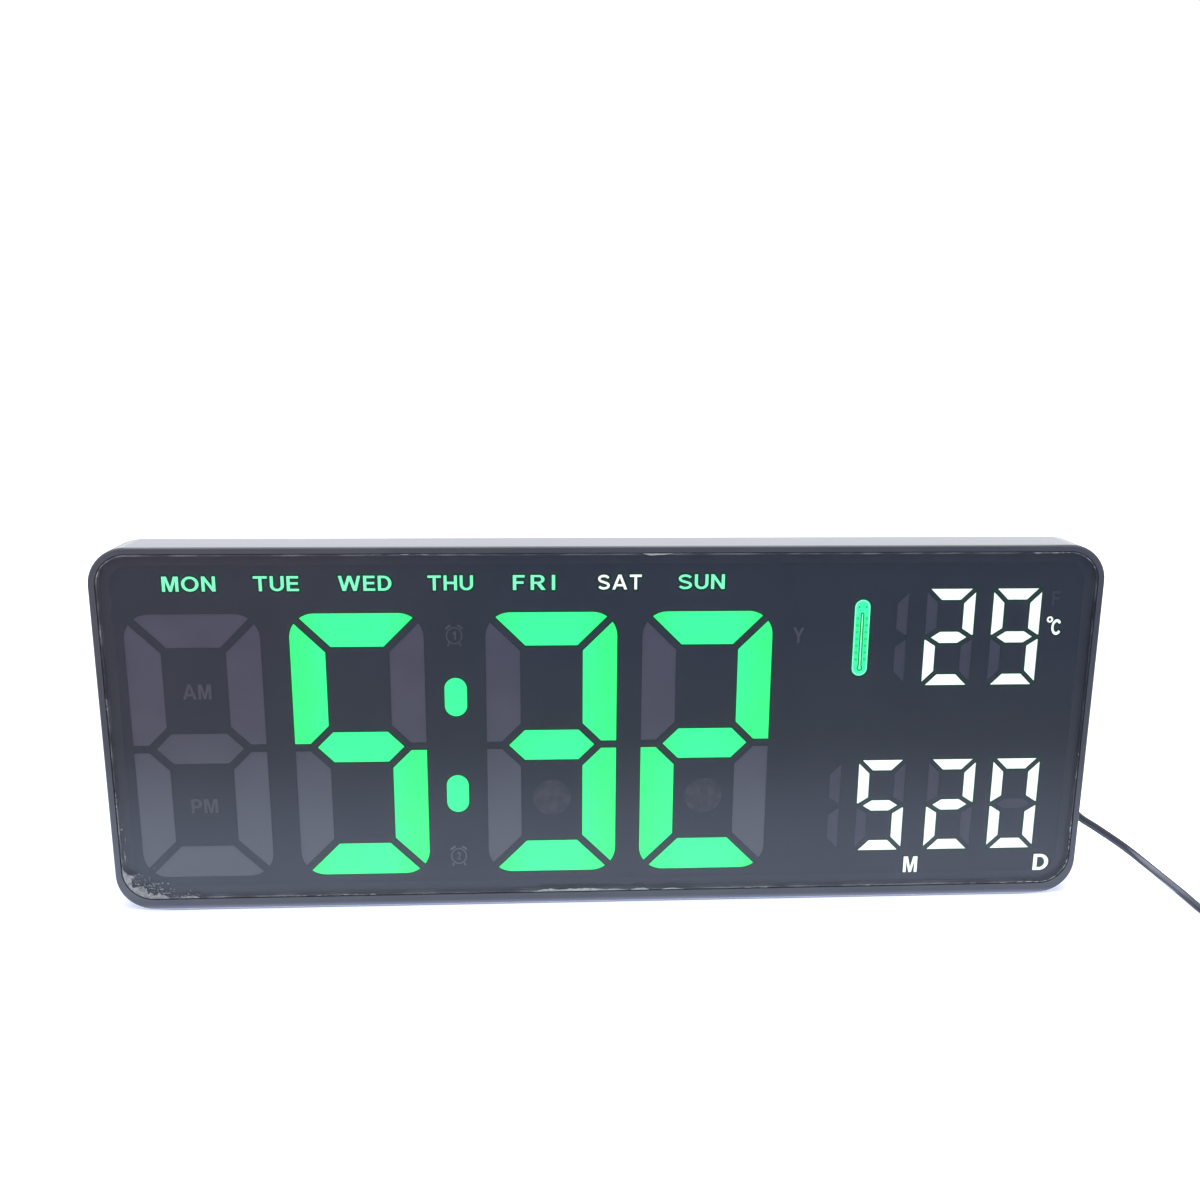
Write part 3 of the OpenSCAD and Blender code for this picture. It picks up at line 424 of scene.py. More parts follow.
@dataclass(frozen=True)
class CaseFinish:
    """Black case plastic with a fine grain, patchy gloss and settled dust."""

    name: str
    light: Colour = (0.085, 0.087, 0.105)
    dark: Colour = (0.072, 0.074, 0.09)
    rough: Point2 = (0.1, 0.18)
    grain: float = 0.0005
    relief: float = 0.000004

    def material(self) -> bpy.types.Material:
        """Build the material.

        Returns:
            The new material.
        """
        paint = Paint(self.name)
        patches = paint.ramp(paint.noise(0.03, 5.0), 0.35, 0.65)
        colour = paint.mix(patches, self.dark, self.light)
        specks = paint.ramp(paint.cells(0.0021), 0.14, 0.05)
        share = paint.times(specks, paint.facing_up())
        colour = paint.mix(paint.times(share, 0.3), colour, (0.45, 0.45, 0.46))
        smears = paint.noise(0.018, 6.0, paint.stretched((1.0, 1.0, 2.5), (0.0, 0.5, 0.0)))
        rough = paint.ramp(smears, 0.3, 0.7, *self.rough)
        paint.set(Base_Color=colour, Roughness=rough, IOR=1.52, Coat_Weight=1.0, Coat_Roughness=0.03)
        paint.set(Normal=paint.bump(paint.noise(self.grain, 2.0), self.relief))
        return paint.material


@dataclass(frozen=True)
class SmokedPanelFinish:
    """Smoked clear sheet: half see-through, glossy, paler along its edge."""

    name: str
    centre_z: float
    half_width: float
    half_height: float
    corner: float
    alpha: float = 0.35

    def edge_depth(self, paint: Paint) -> Socket:
        """Give the distance inwards from the sheet's rounded outline, in metres.

        Args:
            paint: The material that the nodes go into.

        Returns:
            The distance's socket.
        """
        x, _, z = paint.axes(paint.place)
        across = paint.sum("SUBTRACT", paint.sum("ABSOLUTE", x), self.half_width - self.corner)
        rise = paint.sum("ABSOLUTE", paint.sum("SUBTRACT", z, self.centre_z))
        upward = paint.sum("SUBTRACT", rise, self.half_height - self.corner)
        corner = paint.join(paint.sum("MAXIMUM", across, 0.0), paint.sum("MAXIMUM", upward, 0.0), 0.0)
        inner = paint.sum("MINIMUM", paint.sum("MAXIMUM", across, upward), 0.0)
        outside = paint.sum("ADD", paint.vector("LENGTH", corner), inner)
        return paint.sum("SUBTRACT", self.corner, outside)

    def material(self) -> bpy.types.Material:
        """Build the material.

        Returns:
            The new material.
        """
        paint = Paint(self.name)
        haze = paint.mix(paint.noise(0.045, 5.0), (0.004, 0.004, 0.005), (0.012, 0.012, 0.014))
        specks = paint.ramp(paint.cells(0.006), 0.035, 0.018)
        colour = paint.mix(paint.times(specks, 0.35), haze, (0.6, 0.6, 0.62))
        # Paler along the edge, in patches, and fainter towards the right
        rim = paint.ramp(self.edge_depth(paint), 0.0009, 0.0005)
        edge_patches = paint.ramp(paint.noise(0.009, 3.0), 0.4, 0.66, 0.15, 0.85)
        edge_fade_right = paint.ramp(paint.axes(paint.place)[0], 0.1, 0.174, 1.0, 0.5)
        edge_patches = paint.times(edge_patches, edge_fade_right)
        colour = paint.mix(paint.times(rim, edge_patches), colour, (0.62, 0.64, 0.7))
        rough = paint.ramp(paint.noise(0.012, 6.0), 0.3, 0.75, 0.03, 0.1)
        paint.set(Base_Color=colour, Roughness=rough, IOR=2.2, Alpha=self.alpha)
        return paint.material


@dataclass(frozen=True)
class GlowFinish:
    """A diffuser with its light on: one tint in the middle, another towards the ends.

    The tints of a pill, given by its middle and half its straight length, follow its outline.
    """

    name: str
    middle: Colour
    ends: Colour
    strength: float = 2.9
    centre_x: float = 0.0
    reach: Point2 = (0.006, 0.02)
    patch: float = 0.012
    pill: Point2 | None = None

    def material(self) -> bpy.types.Material:
        """Build the material.

        Returns:
            The new material.
        """
        paint = Paint(self.name)
        x, _, z = paint.axes(paint.place)
        off = paint.sum("ABSOLUTE", paint.sum("SUBTRACT", x, self.centre_x))
        if self.pill:
            rise = paint.sum("ABSOLUTE", paint.sum("SUBTRACT", z, self.pill[0]))
            past = paint.sum("MAXIMUM", paint.sum("SUBTRACT", rise, self.pill[1]), 0.0)
            off = paint.vector("LENGTH", paint.join(off, past, 0.0))
        spots = paint.ramp(paint.noise(self.patch, 1.0), 0.3, 0.7, -0.15, 0.15)
        share = paint.sum("ADD", paint.ramp(off, *self.reach), spots)
        light = paint.mix(share, self.middle, self.ends)
        paint.set(Base_Color=paint.mix(0.04, (0.0, 0.0, 0.0), light), Roughness=0.5)
        paint.set(Emission_Color=light, Emission_Strength=self.strength)
        return paint.material


def plain_glow(name: str, colour: Colour, strength: float = 2.9) -> bpy.types.Material:
    """Build the glow of a print with one colour all over."""
    return GlowFinish(name, colour, colour, strength).material()


class Finishes:
    """Every finish of the clock, one material for each of the record's slots."""

    def __init__(self) -> None:
        """Build the materials that more than one piece shares."""
        panel_low, panel_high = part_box("front_panel")
        green, cyan = (0.03, 1.0, 0.2), (0.034, 1.0, 0.29)
        made = (
            CaseFinish("black_case"),
            Finish("button_plastic", (0.07, 0.07, 0.075), (0.045, 0.045, 0.05), (0.35, 0.5)),
            SmokedPanelFinish(
                "smoked_panel",
                (panel_low.z + panel_high.z) / 2,
                (panel_high.x - panel_low.x) / 2,
                (panel_high.z - panel_low.z) / 2,
                0.011,
            ),
            Finish("tape", (0.18, 0.18, 0.22), (0.16, 0.16, 0.195), (0.6, 0.8), relief=0.000001),
            Finish(
                "film_black", (0.125, 0.135, 0.175), (0.11, 0.12, 0.155), (0.55, 0.65),
                patch=0.05, relief=0.000001),
            Finish("white_reflector", (0.82, 0.82, 0.8), (0.76, 0.76, 0.74), (0.4, 0.55)),
            GlowFinish("lit_green", cyan, green),
            GlowFinish("lit_white", (0.95, 1.0, 1.0), (0.92, 1.0, 1.0)),
            # The unlit segments turn paler and bluer low down: painted light from the floor's glare
            Finish(
                "unlit_segment", (0.45, 0.42, 0.59), (0.4, 0.37, 0.53), (0.5, 0.6),
                patch=0.02, relief=0.000001, foot=(0.58, 0.61, 0.74)),
            Finish("light_guide", (0.5, 0.5, 0.52), (0.44, 0.44, 0.46), (0.3, 0.4)),
            Finish("sensor_window", (0.3, 0.28, 0.36), (0.2, 0.19, 0.24), (0.15, 0.25), patch=0.004),
            Finish("board_green", (0.02, 0.13, 0.05), (0.012, 0.09, 0.035), (0.3, 0.4), patch=0.004),
            Finish("led", (0.85, 0.8, 0.55), (0.75, 0.7, 0.45), (0.25, 0.35), patch=0.001),
            Finish("chip_black", (0.03, 0.03, 0.032), (0.02, 0.02, 0.022), (0.5, 0.65)),
            Finish("sensor_face", (0.32, 0.3, 0.25), (0.25, 0.24, 0.2), (0.1, 0.2)),
            Finish("steel", (0.62, 0.62, 0.63), (0.5, 0.5, 0.52), (0.22, 0.38), 1.0, patch=0.002),
            Finish("connector_ivory", (0.75, 0.71, 0.6), (0.68, 0.64, 0.54), (0.4, 0.5)),
            Finish("capacitor_sleeve", (0.04, 0.04, 0.07), (0.03, 0.03, 0.055), (0.2, 0.3)),
            Finish("wire_red", (0.5, 0.03, 0.025), (0.4, 0.02, 0.018), (0.35, 0.45)),
            Finish("pad_rubber", (0.05, 0.05, 0.052), (0.032, 0.032, 0.034), (0.7, 0.85), dust=0.4),
            # The lead's paler streak on what faces up and to the front is a painted highlight
            Finish(
                "lead_sheath", (0.044, 0.048, 0.068), (0.034, 0.037, 0.054), (0.3, 0.42),
                patch=0.006, dust=0.1, painted_highlight=(0.27, 0.285, 0.33)),
            Finish("plug_black", (0.03, 0.03, 0.034), (0.02, 0.02, 0.023), (0.38, 0.5), dust=0.2),
            Finish("plug_metal", (0.72, 0.72, 0.73), (0.6, 0.6, 0.62), (0.18, 0.3), 1.0, patch=0.003),
            Finish("tongue_white", (0.84, 0.83, 0.79), (0.78, 0.77, 0.73), (0.35, 0.45)),
            Finish(
                "tie_fabric", (0.035, 0.035, 0.037), (0.018, 0.018, 0.02), (0.75, 0.9),
                patch=0.002, grain=0.0007, relief=0.0001),
        )
        self.by_slot = {finish.name: finish.material() for finish in made}
        self.green, self.cyan = green, cyan
        self.grained = Finish(
            "grained_case", (0.05, 0.05, 0.055), (0.045, 0.045, 0.0495), (0.42, 0.52),
            patch=0.04, relief=0.00004, dust=0.15,
        ).material()
        self.grained_nodes = ("back_cover", "left_foot", "right_foot", "battery_cap")

    def dress_nodes(self, nodes: Nodes) -> None:
        """Give every CAD node the material of its own slot.

        Args:
            nodes: The CAD nodes by name.
        """
        for node in nodes.values():
            slots = [m.name.split(".")[0] for m in node.data.materials]
            for index, slot in enumerate(slots):
                node.data.materials[index] = self.by_slot[slot]
        for name in self.grained_nodes:
            dress(nodes[name], self.grained)

    def piece(self, made: bpy.types.Object, slot: str, body: str = "case") -> bpy.types.Object:
        """Dress a new piece with a slot's material and let it ride on a body."""
        dress(made, self.by_slot[slot])
        return self.carried(made, body)

    def carried(self, made: bpy.types.Object, body: str = "case") -> bpy.types.Object:
        """Let a dressed piece ride on a body."""
        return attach(made, body)

    def inked(
        self, layer: "FlatPrint", name: str, ink: bpy.types.Material, body: str = "case",
    ) -> bpy.types.Object:
        """Make a print that has an ink of its own in its slot.

        Args:
            layer: The finished print.
            name: The piece's name.
            ink: The ink's material.
            body: The body that it rides on.

        Returns:
            The print's object.
        """
        made = layer.make(name)
        dress(made, ink)
        return self.carried(made, body)


class RowShape(Enum):
    """What a row made by BarRow consists of."""

    BLOCK = "block"
    BEAD = "bead"


class BarRow:
    """A Geometry Nodes tree that sets equal blocks or beads in a straight row."""

    SOCKETS = (
        ("Start", "NodeSocketVector"),
        ("Step", "NodeSocketVector"),
        ("Count", "NodeSocketInt"),
        ("Size", "NodeSocketVector"),
        ("Finish", "NodeSocketMaterial"),
    )

    def __init__(self, shape: RowShape) -> None:
        """Build the tree for rows of one shape.

        Args:
            shape: What the rows consist of.
        """
        self.tree = bpy.data.node_groups.new(f"row_of_{shape.value}s", "GeometryNodeTree")
        face = self.tree.interface
        self.keys = {n: face.new_socket(n, in_out="INPUT", socket_type=k).identifier for n, k in self.SOCKETS}
        face.new_socket("Row", in_out="OUTPUT", socket_type="NodeSocketGeometry")
        new, link = self.tree.nodes.new, self.tree.links.new
        given, out = new("NodeGroupInput").outputs, new("NodeGroupOutput")
        line, spread = new("GeometryNodeMeshLine"), new("GeometryNodeInstanceOnPoints")
        link(given["Count"], line.inputs["Count"])
        link(given["Start"], line.inputs["Start Location"])
        link(given["Step"], line.inputs["Offset"])
        if shape is RowShape.BLOCK:
            unit = new("GeometryNodeMeshCube")
        else:
            unit = new("GeometryNodeMeshUVSphere")
            unit.inputs["Segments"].default_value = 8
            unit.inputs["Rings"].default_value = 5
            unit.inputs["Radius"].default_value = 0.5
        link(line.outputs["Mesh"], spread.inputs["Points"])
        link(unit.outputs["Mesh"], spread.inputs["Instance"])
        link(given["Size"], spread.inputs["Scale"])
        real, paint = new("GeometryNodeRealizeInstances"), new("GeometryNodeSetMaterial")
        link(spread.outputs["Instances"], real.inputs["Geometry"])
        link(real.outputs["Geometry"], paint.inputs["Geometry"])
        link(given["Finish"], paint.inputs["Material"])
        link(paint.outputs["Geometry"], out.inputs["Row"])

    def make(
        self,
        name: str,
        start: Point3,
        step: Point3,
        count: int,
        size: Point3,
        finish: bpy.types.Material,
    ) -> bpy.types.Object:
        """Make one row as a plain mesh.

        Args:
            name: The piece's name.
            start: The first bar's middle, in millimetres.
            step: From one bar to the next, in millimetres.
            count: How many bars there are.
            size: Each bar's length along X, Y and Z, in millimetres.
            finish: The material.

        Returns:
            The row's object.
        """
        row = link_object(name, bpy.data.meshes.new(name))
        modifier = row.modifiers.new("row", "NODES")
        modifier.node_group = self.tree
        values = {
            "Start": millimetres(start),
            "Step": millimetres(step),
            "Count": count,
            "Size": millimetres(size),
            "Finish": finish,
        }
        for key, value in values.items():
            modifier[self.keys[key]] = value
        return plain_mesh(row)


def bow(centre: Point2, radius: Point2, start: float, end: float, steps: int = 14) -> list[Point2]:
    """Give points along a part of an ellipse, both ends included.

    Args:
        centre: The ellipse's middle.
        radius: Its half width and half height.
        start: Where the part begins, in degrees.
        end: Where it ends.
        steps: How many spans it has.

    Returns:
        The points in order.
    """
    turns = (math.radians(start + (end - start) * k / steps) for k in range(steps + 1))
    return [(centre[0] + radius[0] * math.cos(t), centre[1] + radius[1] * math.sin(t)) for t in turns]


def stroked(line: Sequence[Point2], width: float) -> list[Point2]:
    """Give the outline of a stroke of one width along a line.

    Args:
        line: The points of the line.
        width: The stroke's width.

    Returns:
        The outline, up one side and down the other.
    """
    sides: tuple[list[Point2], list[Point2]] = ([], [])
    for k, (x, y) in enumerate(line):
        before, after = Vector(line[max(0, k - 1)]), Vector(line[min(len(line) - 1, k + 1)])
        way = (after - before).normalized() * (width / 2)
        sides[0].append((x + way.y, y - way.x))
        sides[1].append((x - way.y, y + way.x))
    return sides[0] + sides[1][::-1]


class BoldLetters:
    """Plain bold capitals, one unit high, as outlines; holes go round the other way."""

    UPRIGHT = 0.2
    LEVEL = 0.18
    GAP = 0.13

    def outlines(self, sign: str) -> list[list[Point2]]:
        """Give the outlines of one sign.

        Args:
            sign: A capital or a figure that the clock shows.

        Returns:
            The outer outline, and then the hole where there is one.
        """
        s, t = self.UPRIGHT, self.LEVEL
        straight: dict[str, list[list[Point2]]] = {
            "I": [[(0, 0), (s, 0), (s, 1), (0, 1)]],
            "L": [[(0, 0), (0.68, 0), (0.68, t), (s, t), (s, 1), (0, 1)]],
            "T": [[(0.3, 0), (0.5, 0), (0.5, 1 - t), (0.8, 1 - t), (0.8, 1), (0, 1), (0, 1 - t),
                   (0.3, 1 - t)]],
            "H": [[(0, 0), (s, 0), (s, 0.41), (0.6, 0.41), (0.6, 0), (0.8, 0), (0.8, 1), (0.6, 1),
                   (0.6, 0.59), (s, 0.59), (s, 1), (0, 1)]],
            "E": [[(0, 0), (0.7, 0), (0.7, t), (s, t), (s, 0.42), (0.65, 0.42), (0.65, 0.6), (s, 0.6),
                   (s, 1 - t), (0.68, 1 - t), (0.68, 1), (0, 1)]],
            "F": [[(0, 0), (s, 0), (s, 0.41), (0.59, 0.41), (0.59, 0.59), (s, 0.59), (s, 1 - t),
                   (0.65, 1 - t), (0.65, 1), (0, 1)]],
            "N": [[(0, 0), (s, 0), (s, 0.66), (0.6, 0), (0.8, 0), (0.8, 1), (0.6, 1), (0.6, 0.34),
                   (s, 1), (0, 1)]],
            "M": [[(0, 0), (s, 0), (s, 0.7), (0.385, 0), (0.565, 0), (0.75, 0.7), (0.75, 0), (0.95, 0),
                   (0.95, 1), (0.66, 1), (0.475, 0.31), (0.29, 1), (0, 1)]],
            "W": [[(0.24, 0), (0.45, 0), (0.65, 0.68), (0.85, 0), (1.06, 0), (1.3, 1), (1.09, 1),
                   (0.95, 0.33), (0.76, 1), (0.54, 1), (0.35, 0.33), (0.21, 1), (0, 1)]],
            "A": [[(0, 0), (0.22, 0), (0.29, 0.21), (0.71, 0.21), (0.78, 0), (1, 0), (0.61, 1), (0.39, 1)],
                  [(0.36, 0.38), (0.5, 0.78), (0.64, 0.38)]],
            "Y": [[(0.375, 0), (0.575, 0), (0.575, 0.42), (0.95, 1), (0.71, 1), (0.475, 0.62), (0.24, 1),
                   (0, 1), (0.375, 0.42)]],
            "1": [[(0.26, 0), (0.46, 0), (0.46, 1), (0.3, 1), (0, 0.76), (0, 0.6), (0.26, 0.75)]],
        }
        if sign in straight:
            return straight[sign]
        round_part, inner = bow((0.5, 0.5), (0.5, 0.5), 0, 350, 35), bow((0.5, 0.5), (0.29, 0.32), 350, 0, 35)
        curved: dict[str, list[list[Point2]]] = {
            "O": [round_part, inner],
            "C": [bow((0.5, 0.5), (0.5, 0.5), 38, 322, 28) + bow((0.5, 0.5), (0.29, 0.32), 322, 38, 28)],
            "U": [[(0, 1), *bow((0.4, 0.38), (0.4, 0.38), 180, 360), (0.8, 1), (0.6, 1),
                   *bow((0.4, 0.38), (0.2, 0.2), 360, 180), (s, 1)]],
            "D": [[(0, 0), *bow((0.34, 0.5), (0.46, 0.5), -90, 90), (0, 1)],
                  [(s, 1 - t), *bow((0.34, 0.5), (0.25, 0.5 - t), 90, -90), (s, t)]],
            "P": [[(0, 0), (s, 0), (s, 0.36), *bow((0.42, 0.68), (0.31, 0.32), -90, 90), (0, 1)],
                  [(s, 0.84), *bow((0.4, 0.68), (0.12, 0.16), 90, -90), (s, 0.52)]],
            "R": [[(0, 0), (s, 0), (s, 0.4), (0.32, 0.4), (0.57, 0), (0.83, 0), (0.56, 0.43),
                   *bow((0.46, 0.71), (0.3, 0.29), -60, 90), (0, 1)],
                  [(s, 0.84), *bow((0.43, 0.7), (0.13, 0.14), 90, -90), (s, 0.56)]],
            "S": [stroked([*bow((0.4, 0.715), (0.3, 0.195), 12, 235),
                           *bow((0.4, 0.28), (0.31, 0.19), 55, -165)], t)],
            "2": [stroked([*bow((0.33, 0.68), (0.25, 0.23), 165, -35), (0.12, 0.09), (0.66, 0.09)], t)],
        }
        return curved[sign]

    def word(self, text: str, space: float) -> list[list[Point2]]:
        """Give the outlines of a word, its letters set side by side.

        Args:
            text: The word.
            space: Extra space between letters, in letter heights.

        Returns:
            All its outlines; outer ones go round anticlockwise, holes clockwise.
        """
        made, along = [], 0.0
        for sign in text:
            loops = self.outlines(sign)
            left = min(x for x, _ in loops[0])
            for k, loop in enumerate(loops):
                order = loop if (turn_of(loop) > 0) == (k == 0) else loop[::-1]
                made.append([(x - left + along, y) for x, y in order])
            along += max(x for x, _ in loops[0]) - left + self.GAP + space
        return made


def turn_of(loop: Sequence[Point2]) -> float:
    """Give an outline's area, above 0 where it goes round anticlockwise."""
    return sum(loop[k - 1][0] * p[1] - p[0] * loop[k - 1][1] for k, p in enumerate(loop)) / 2


class FlatPrint:
    """Thin printed shapes in the X Z plane, gathered into one closed mesh.

    WELD is in millimetres. HULL and FACES are kinds of triangulation: every triangle, or faces with the
    holes left out.
    """

    WELD = 1e-4
    HULL = 0
    FACES = 5

    def __init__(self, front: float, back: float) -> None:
        """Start a print between two depths, given in millimetres along Y."""
        self.front, self.back = front * MM, back * MM
        self.mesh = bmesh.new()

    def _loop(self, points: Iterable[Point2], depth: float) -> list[bmesh.types.BMVert]:
        """Add one loop of corners at a depth."""
        return [self.mesh.verts.new((x, depth, z)) for x, z in points]

    def _wall(self, first: list[bmesh.types.BMVert], second: list[bmesh.types.BMVert]) -> None:
        """Add the faces between two loops of as many corners.

        Args:
            first: One loop's corners.
            second: The other's, in the same order.
        """
        for k, corner in enumerate(first):
            ahead = (k + 1) % len(first)
            self.mesh.faces.new((corner, first[ahead], second[ahead], second[k]))

    def polygon(self, points: Sequence[Point2]) -> None:
        """Add a filled outline, in metres, that goes round as seen from the front.

        Args:
            points: The outline's corners.
        """
        near, far = self._loop(points, self.front), self._loop(points, self.back)
        self.mesh.faces.new(near)
        self.mesh.faces.new(far[::-1])
        self._wall(far, near)

    def patch(self, points: Iterable[Point2]) -> None:
        """Add a filled outline, in millimetres."""
        self.polygon([(x * MM, z * MM) for x, z in points])

    def ring(self, outer: Sequence[Point2], inner: Sequence[Point2]) -> None:
        """Add the band between two outlines of as many corners, in metres.

        Args:
            outer: The outer outline's corners.
            inner: The inner one's.
        """
        near_out, near_in = self._loop(outer, self.front), self._loop(inner, self.front)
        far_out, far_in = self._loop(outer, self.back), self._loop(inner, self.back)
        self._wall(near_out, near_in)
        self._wall(near_in, far_in)
        self._wall(far_in, far_out)
        self._wall(far_out, near_out)

    def fitted(self, text: str, box: Box2, space: float) -> list[list[Point2]]:
        """Give a word's outlines, stretched to fill a box, in millimetres.

        Args:
            text: The word.
            box: Left, right, low and high edge.
            space: Extra space between letters, in letter heights.

        Returns:
            The outlines.
        """
        loops = BoldLetters().word(text, space)
        left, right, bottom, top = box
        spots = [p for loop in loops for p in loop]
        wide, low, high = max(p[0] for p in spots), min(p[1] for p in spots), max(p[1] for p in spots)
        across, upward = (right - left) / wide, (top - bottom) / (high - low)
        return [[(left + x * across, bottom + (z - low) * upward) for x, z in loop] for loop in loops]

    def halo(self, text: str, box: Box2, reach: float, space: float = 0.0) -> None:
        """Add everything within a reach of a word, its letters included.

        Args:
            text: The word.
            box: Left, right, low and high edge, in millimetres.
            reach: How far the shape stands out past the word, in millimetres.
            space: Extra space between letters, in letter heights.
        """
        corners: list[Vector] = []
        shapes: list[list[int]] = []
        letters, holes, bands = set(), set(), set()
        for loop in self.fitted(text, box, space):
            solid = turn_of(loop) > 0
            parts = [(letters if solid else holes, loop if solid else loop[::-1])]
            for k, spot in enumerate(loop):
                parts.append((bands, bow(spot, (reach, reach), 0, 330, 11)))
                parts.append((bands, stroked([loop[k - 1], spot], reach * 2)))
            for kind, part in parts:
                kind.add(len(shapes))
                shapes.append(list(range(len(corners), len(corners) + len(part))))
                corners += [Vector(p) for p in part]
        points, _, faces, _, _, owners = delaunay_2d_cdt(corners, [], shapes, self.HULL, self.WELD)
        kept = [
            face for face, own in zip(faces, map(set, owners))
            if own & bands or (own & letters and not own & holes)
        ]
        sides = {(f[k - 1], f[k]) for f in kept for k in range(len(f))}
        rim = sorted(side for side in sides if side[::-1] not in sides)
        index = {k: n for n, k in enumerate(sorted({k for side in rim for k in side}))}
        rim = [(index[a], index[b]) for a, b in rim]
        points, _, faces, *_ = delaunay_2d_cdt([points[k] for k in index], rim, [], self.FACES, self.WELD)
        sides = {(f[k - 1], f[k]) for f in faces for k in range(len(f))}
        near, far = (
            [self.mesh.verts.new((p.x * MM, depth, p.y * MM)) for p in points]
            for depth in (self.front, self.back)
        )
        for face in faces:
            self.mesh.faces.new([near[k] for k in face])
            self.mesh.faces.new([far[k] for k in reversed(face)])
        for a, b in sides:
            if (b, a) not in sides:
                self.mesh.faces.new((near[b], near[a], far[a], far[b]))

    def words(self, text: str, box: Box2, grow: float = 0.0, space: float = 0.0) -> None:
        """Add a word that fills a box.

        Args:
            text: The word.
            box: Left, right, low and high edge, in millimetres.
            grow: How far the word's outline stands out past the box, in millimetres.
            space: Extra space between letters, in letter heights.
        """
        shape = bpy.data.curves.new(text, "CURVE")
        shape.dimensions = "2D"
        shape.fill_mode = "BOTH"
        shape.extrude = 0.5
        for loop in self.fitted(text, box, space):
            spline = shape.splines.new("POLY")
            spline.use_cyclic_u = True
            spline.points.add(len(loop) - 1)
            for point, (x, z) in zip(spline.points, widened(loop, grow)):
                point.co = (x, z, 0.0, 1.0)
        holder = link_object(text, shape)
        mesh = evaluated(holder)
        for vertex in mesh.vertices:
            x, z, depth = vertex.co
            vertex.co = (x * MM, self.front if depth > 0 else self.back, z * MM)
        self.mesh.from_mesh(mesh)
        bpy.data.objects.remove(holder)
        bpy.data.curves.remove(shape)
        bpy.data.meshes.remove(mesh)

    def make(self, name: str) -> bpy.types.Object:
        """Give the print as an object."""
        bmesh.ops.remove_doubles(self.mesh, verts=self.mesh.verts, dist=MERGE)
        return from_bmesh(name, self.mesh)


def arc(
    centre: Point2, radius: Point2, start: float = 0.0, end: float = FULL_TURN, steps: int = 24,
) -> list[Point2]:
    """Give points on an ellipse or a part of one, in metres, from millimetres.

    Args:
        centre: The ellipse's middle, X and Z.
        radius: Its half width and half height.
        start: Where it begins, in degrees from +X.
        end: Where it ends.
        steps: How many parts it has.

    Returns:
        The points; a full turn doesn't repeat its first one.
    """
    points = bow(centre, radius, start, end, steps)
    if end - start >= FULL_TURN:
        points.pop()
    return [(x * MM, z * MM) for x, z in points]


def front_outlines(node: bpy.types.Object) -> list[list[Point2]]:
    """Give the outlines of a node's front faces, in order round each.

    Args:
        node: A CAD node whose front is flat.

    Returns:
        One list of X Z points, in metres, for each outline.
    """
    mesh = bmesh.new()
    mesh.from_mesh(node.data)
    bmesh.ops.remove_doubles(mesh, verts=mesh.verts, dist=MERGE)
    ahead: dict[bmesh.types.BMVert, bmesh.types.BMVert] = {}
    for face in mesh.faces:
        if face.normal.y > FRONT_NORMAL:
            continue
        for corner in face.loops:
            if all(f.normal.y > FRONT_NORMAL for f in corner.edge.link_faces if f is not face):
                ahead[corner.vert] = corner.link_loop_next.vert
    outlines = []
    while ahead:
        vert, follow = ahead.popitem()
        outline = [vert]
        while follow is not outline[0]:
            outline.append(follow)
            follow = ahead.pop(follow)
        outlines.append([(v.co.x, v.co.z) for v in outline])
    mesh.free()
    return outlines


def widened(outline: Sequence[Point2], by: float) -> list[Point2]:
    """Give an outline moved outwards by a distance in metres, its corners mitred.

    Args:
        outline: The corners in order.
        by: The distance.

    Returns:
        The moved corners.
    """
    made = []
    for k, (x, z) in enumerate(outline):
        before, after = outline[k - 1], outline[(k + 1) % len(outline)]
        first = Vector((x - before[0], z - before[1])).normalized()
        second = Vector((after[0] - x, after[1] - z)).normalized()
        one, two = Vector((first.y, -first.x)), Vector((second.y, -second.x))
        move = (one + two) / max(MITRE, 1.0 + one.dot(two)) * by
        made.append((x + move.x, z + move.y))
    return made


def smooth_path(points: Sequence[Vector], parts: int) -> list[Vector]:
    """Give a smooth line through points, each span cut into a number of parts.

    Args:
        points: The points to go through.
        parts: The parts of each span.

    Returns:
        The line's points, both ends included.
    """
    ends = [points[0] * 2 - points[1], *points, points[-1] * 2 - points[-2]]
    made = []
    for a, b, c, d in zip(ends, ends[1:], ends[2:], ends[3:]):
        for k in range(parts):
            t = k / parts
            bend = (a * 2 - b * 5 + c * 4 - d) * (t * t / 2)
            twist = (b * 3 - a - c * 3 + d) * (t**3 / 2)
            made.append(b + (c - a) * (t / 2) + bend + twist)
    return [*made, points[-1].copy()]


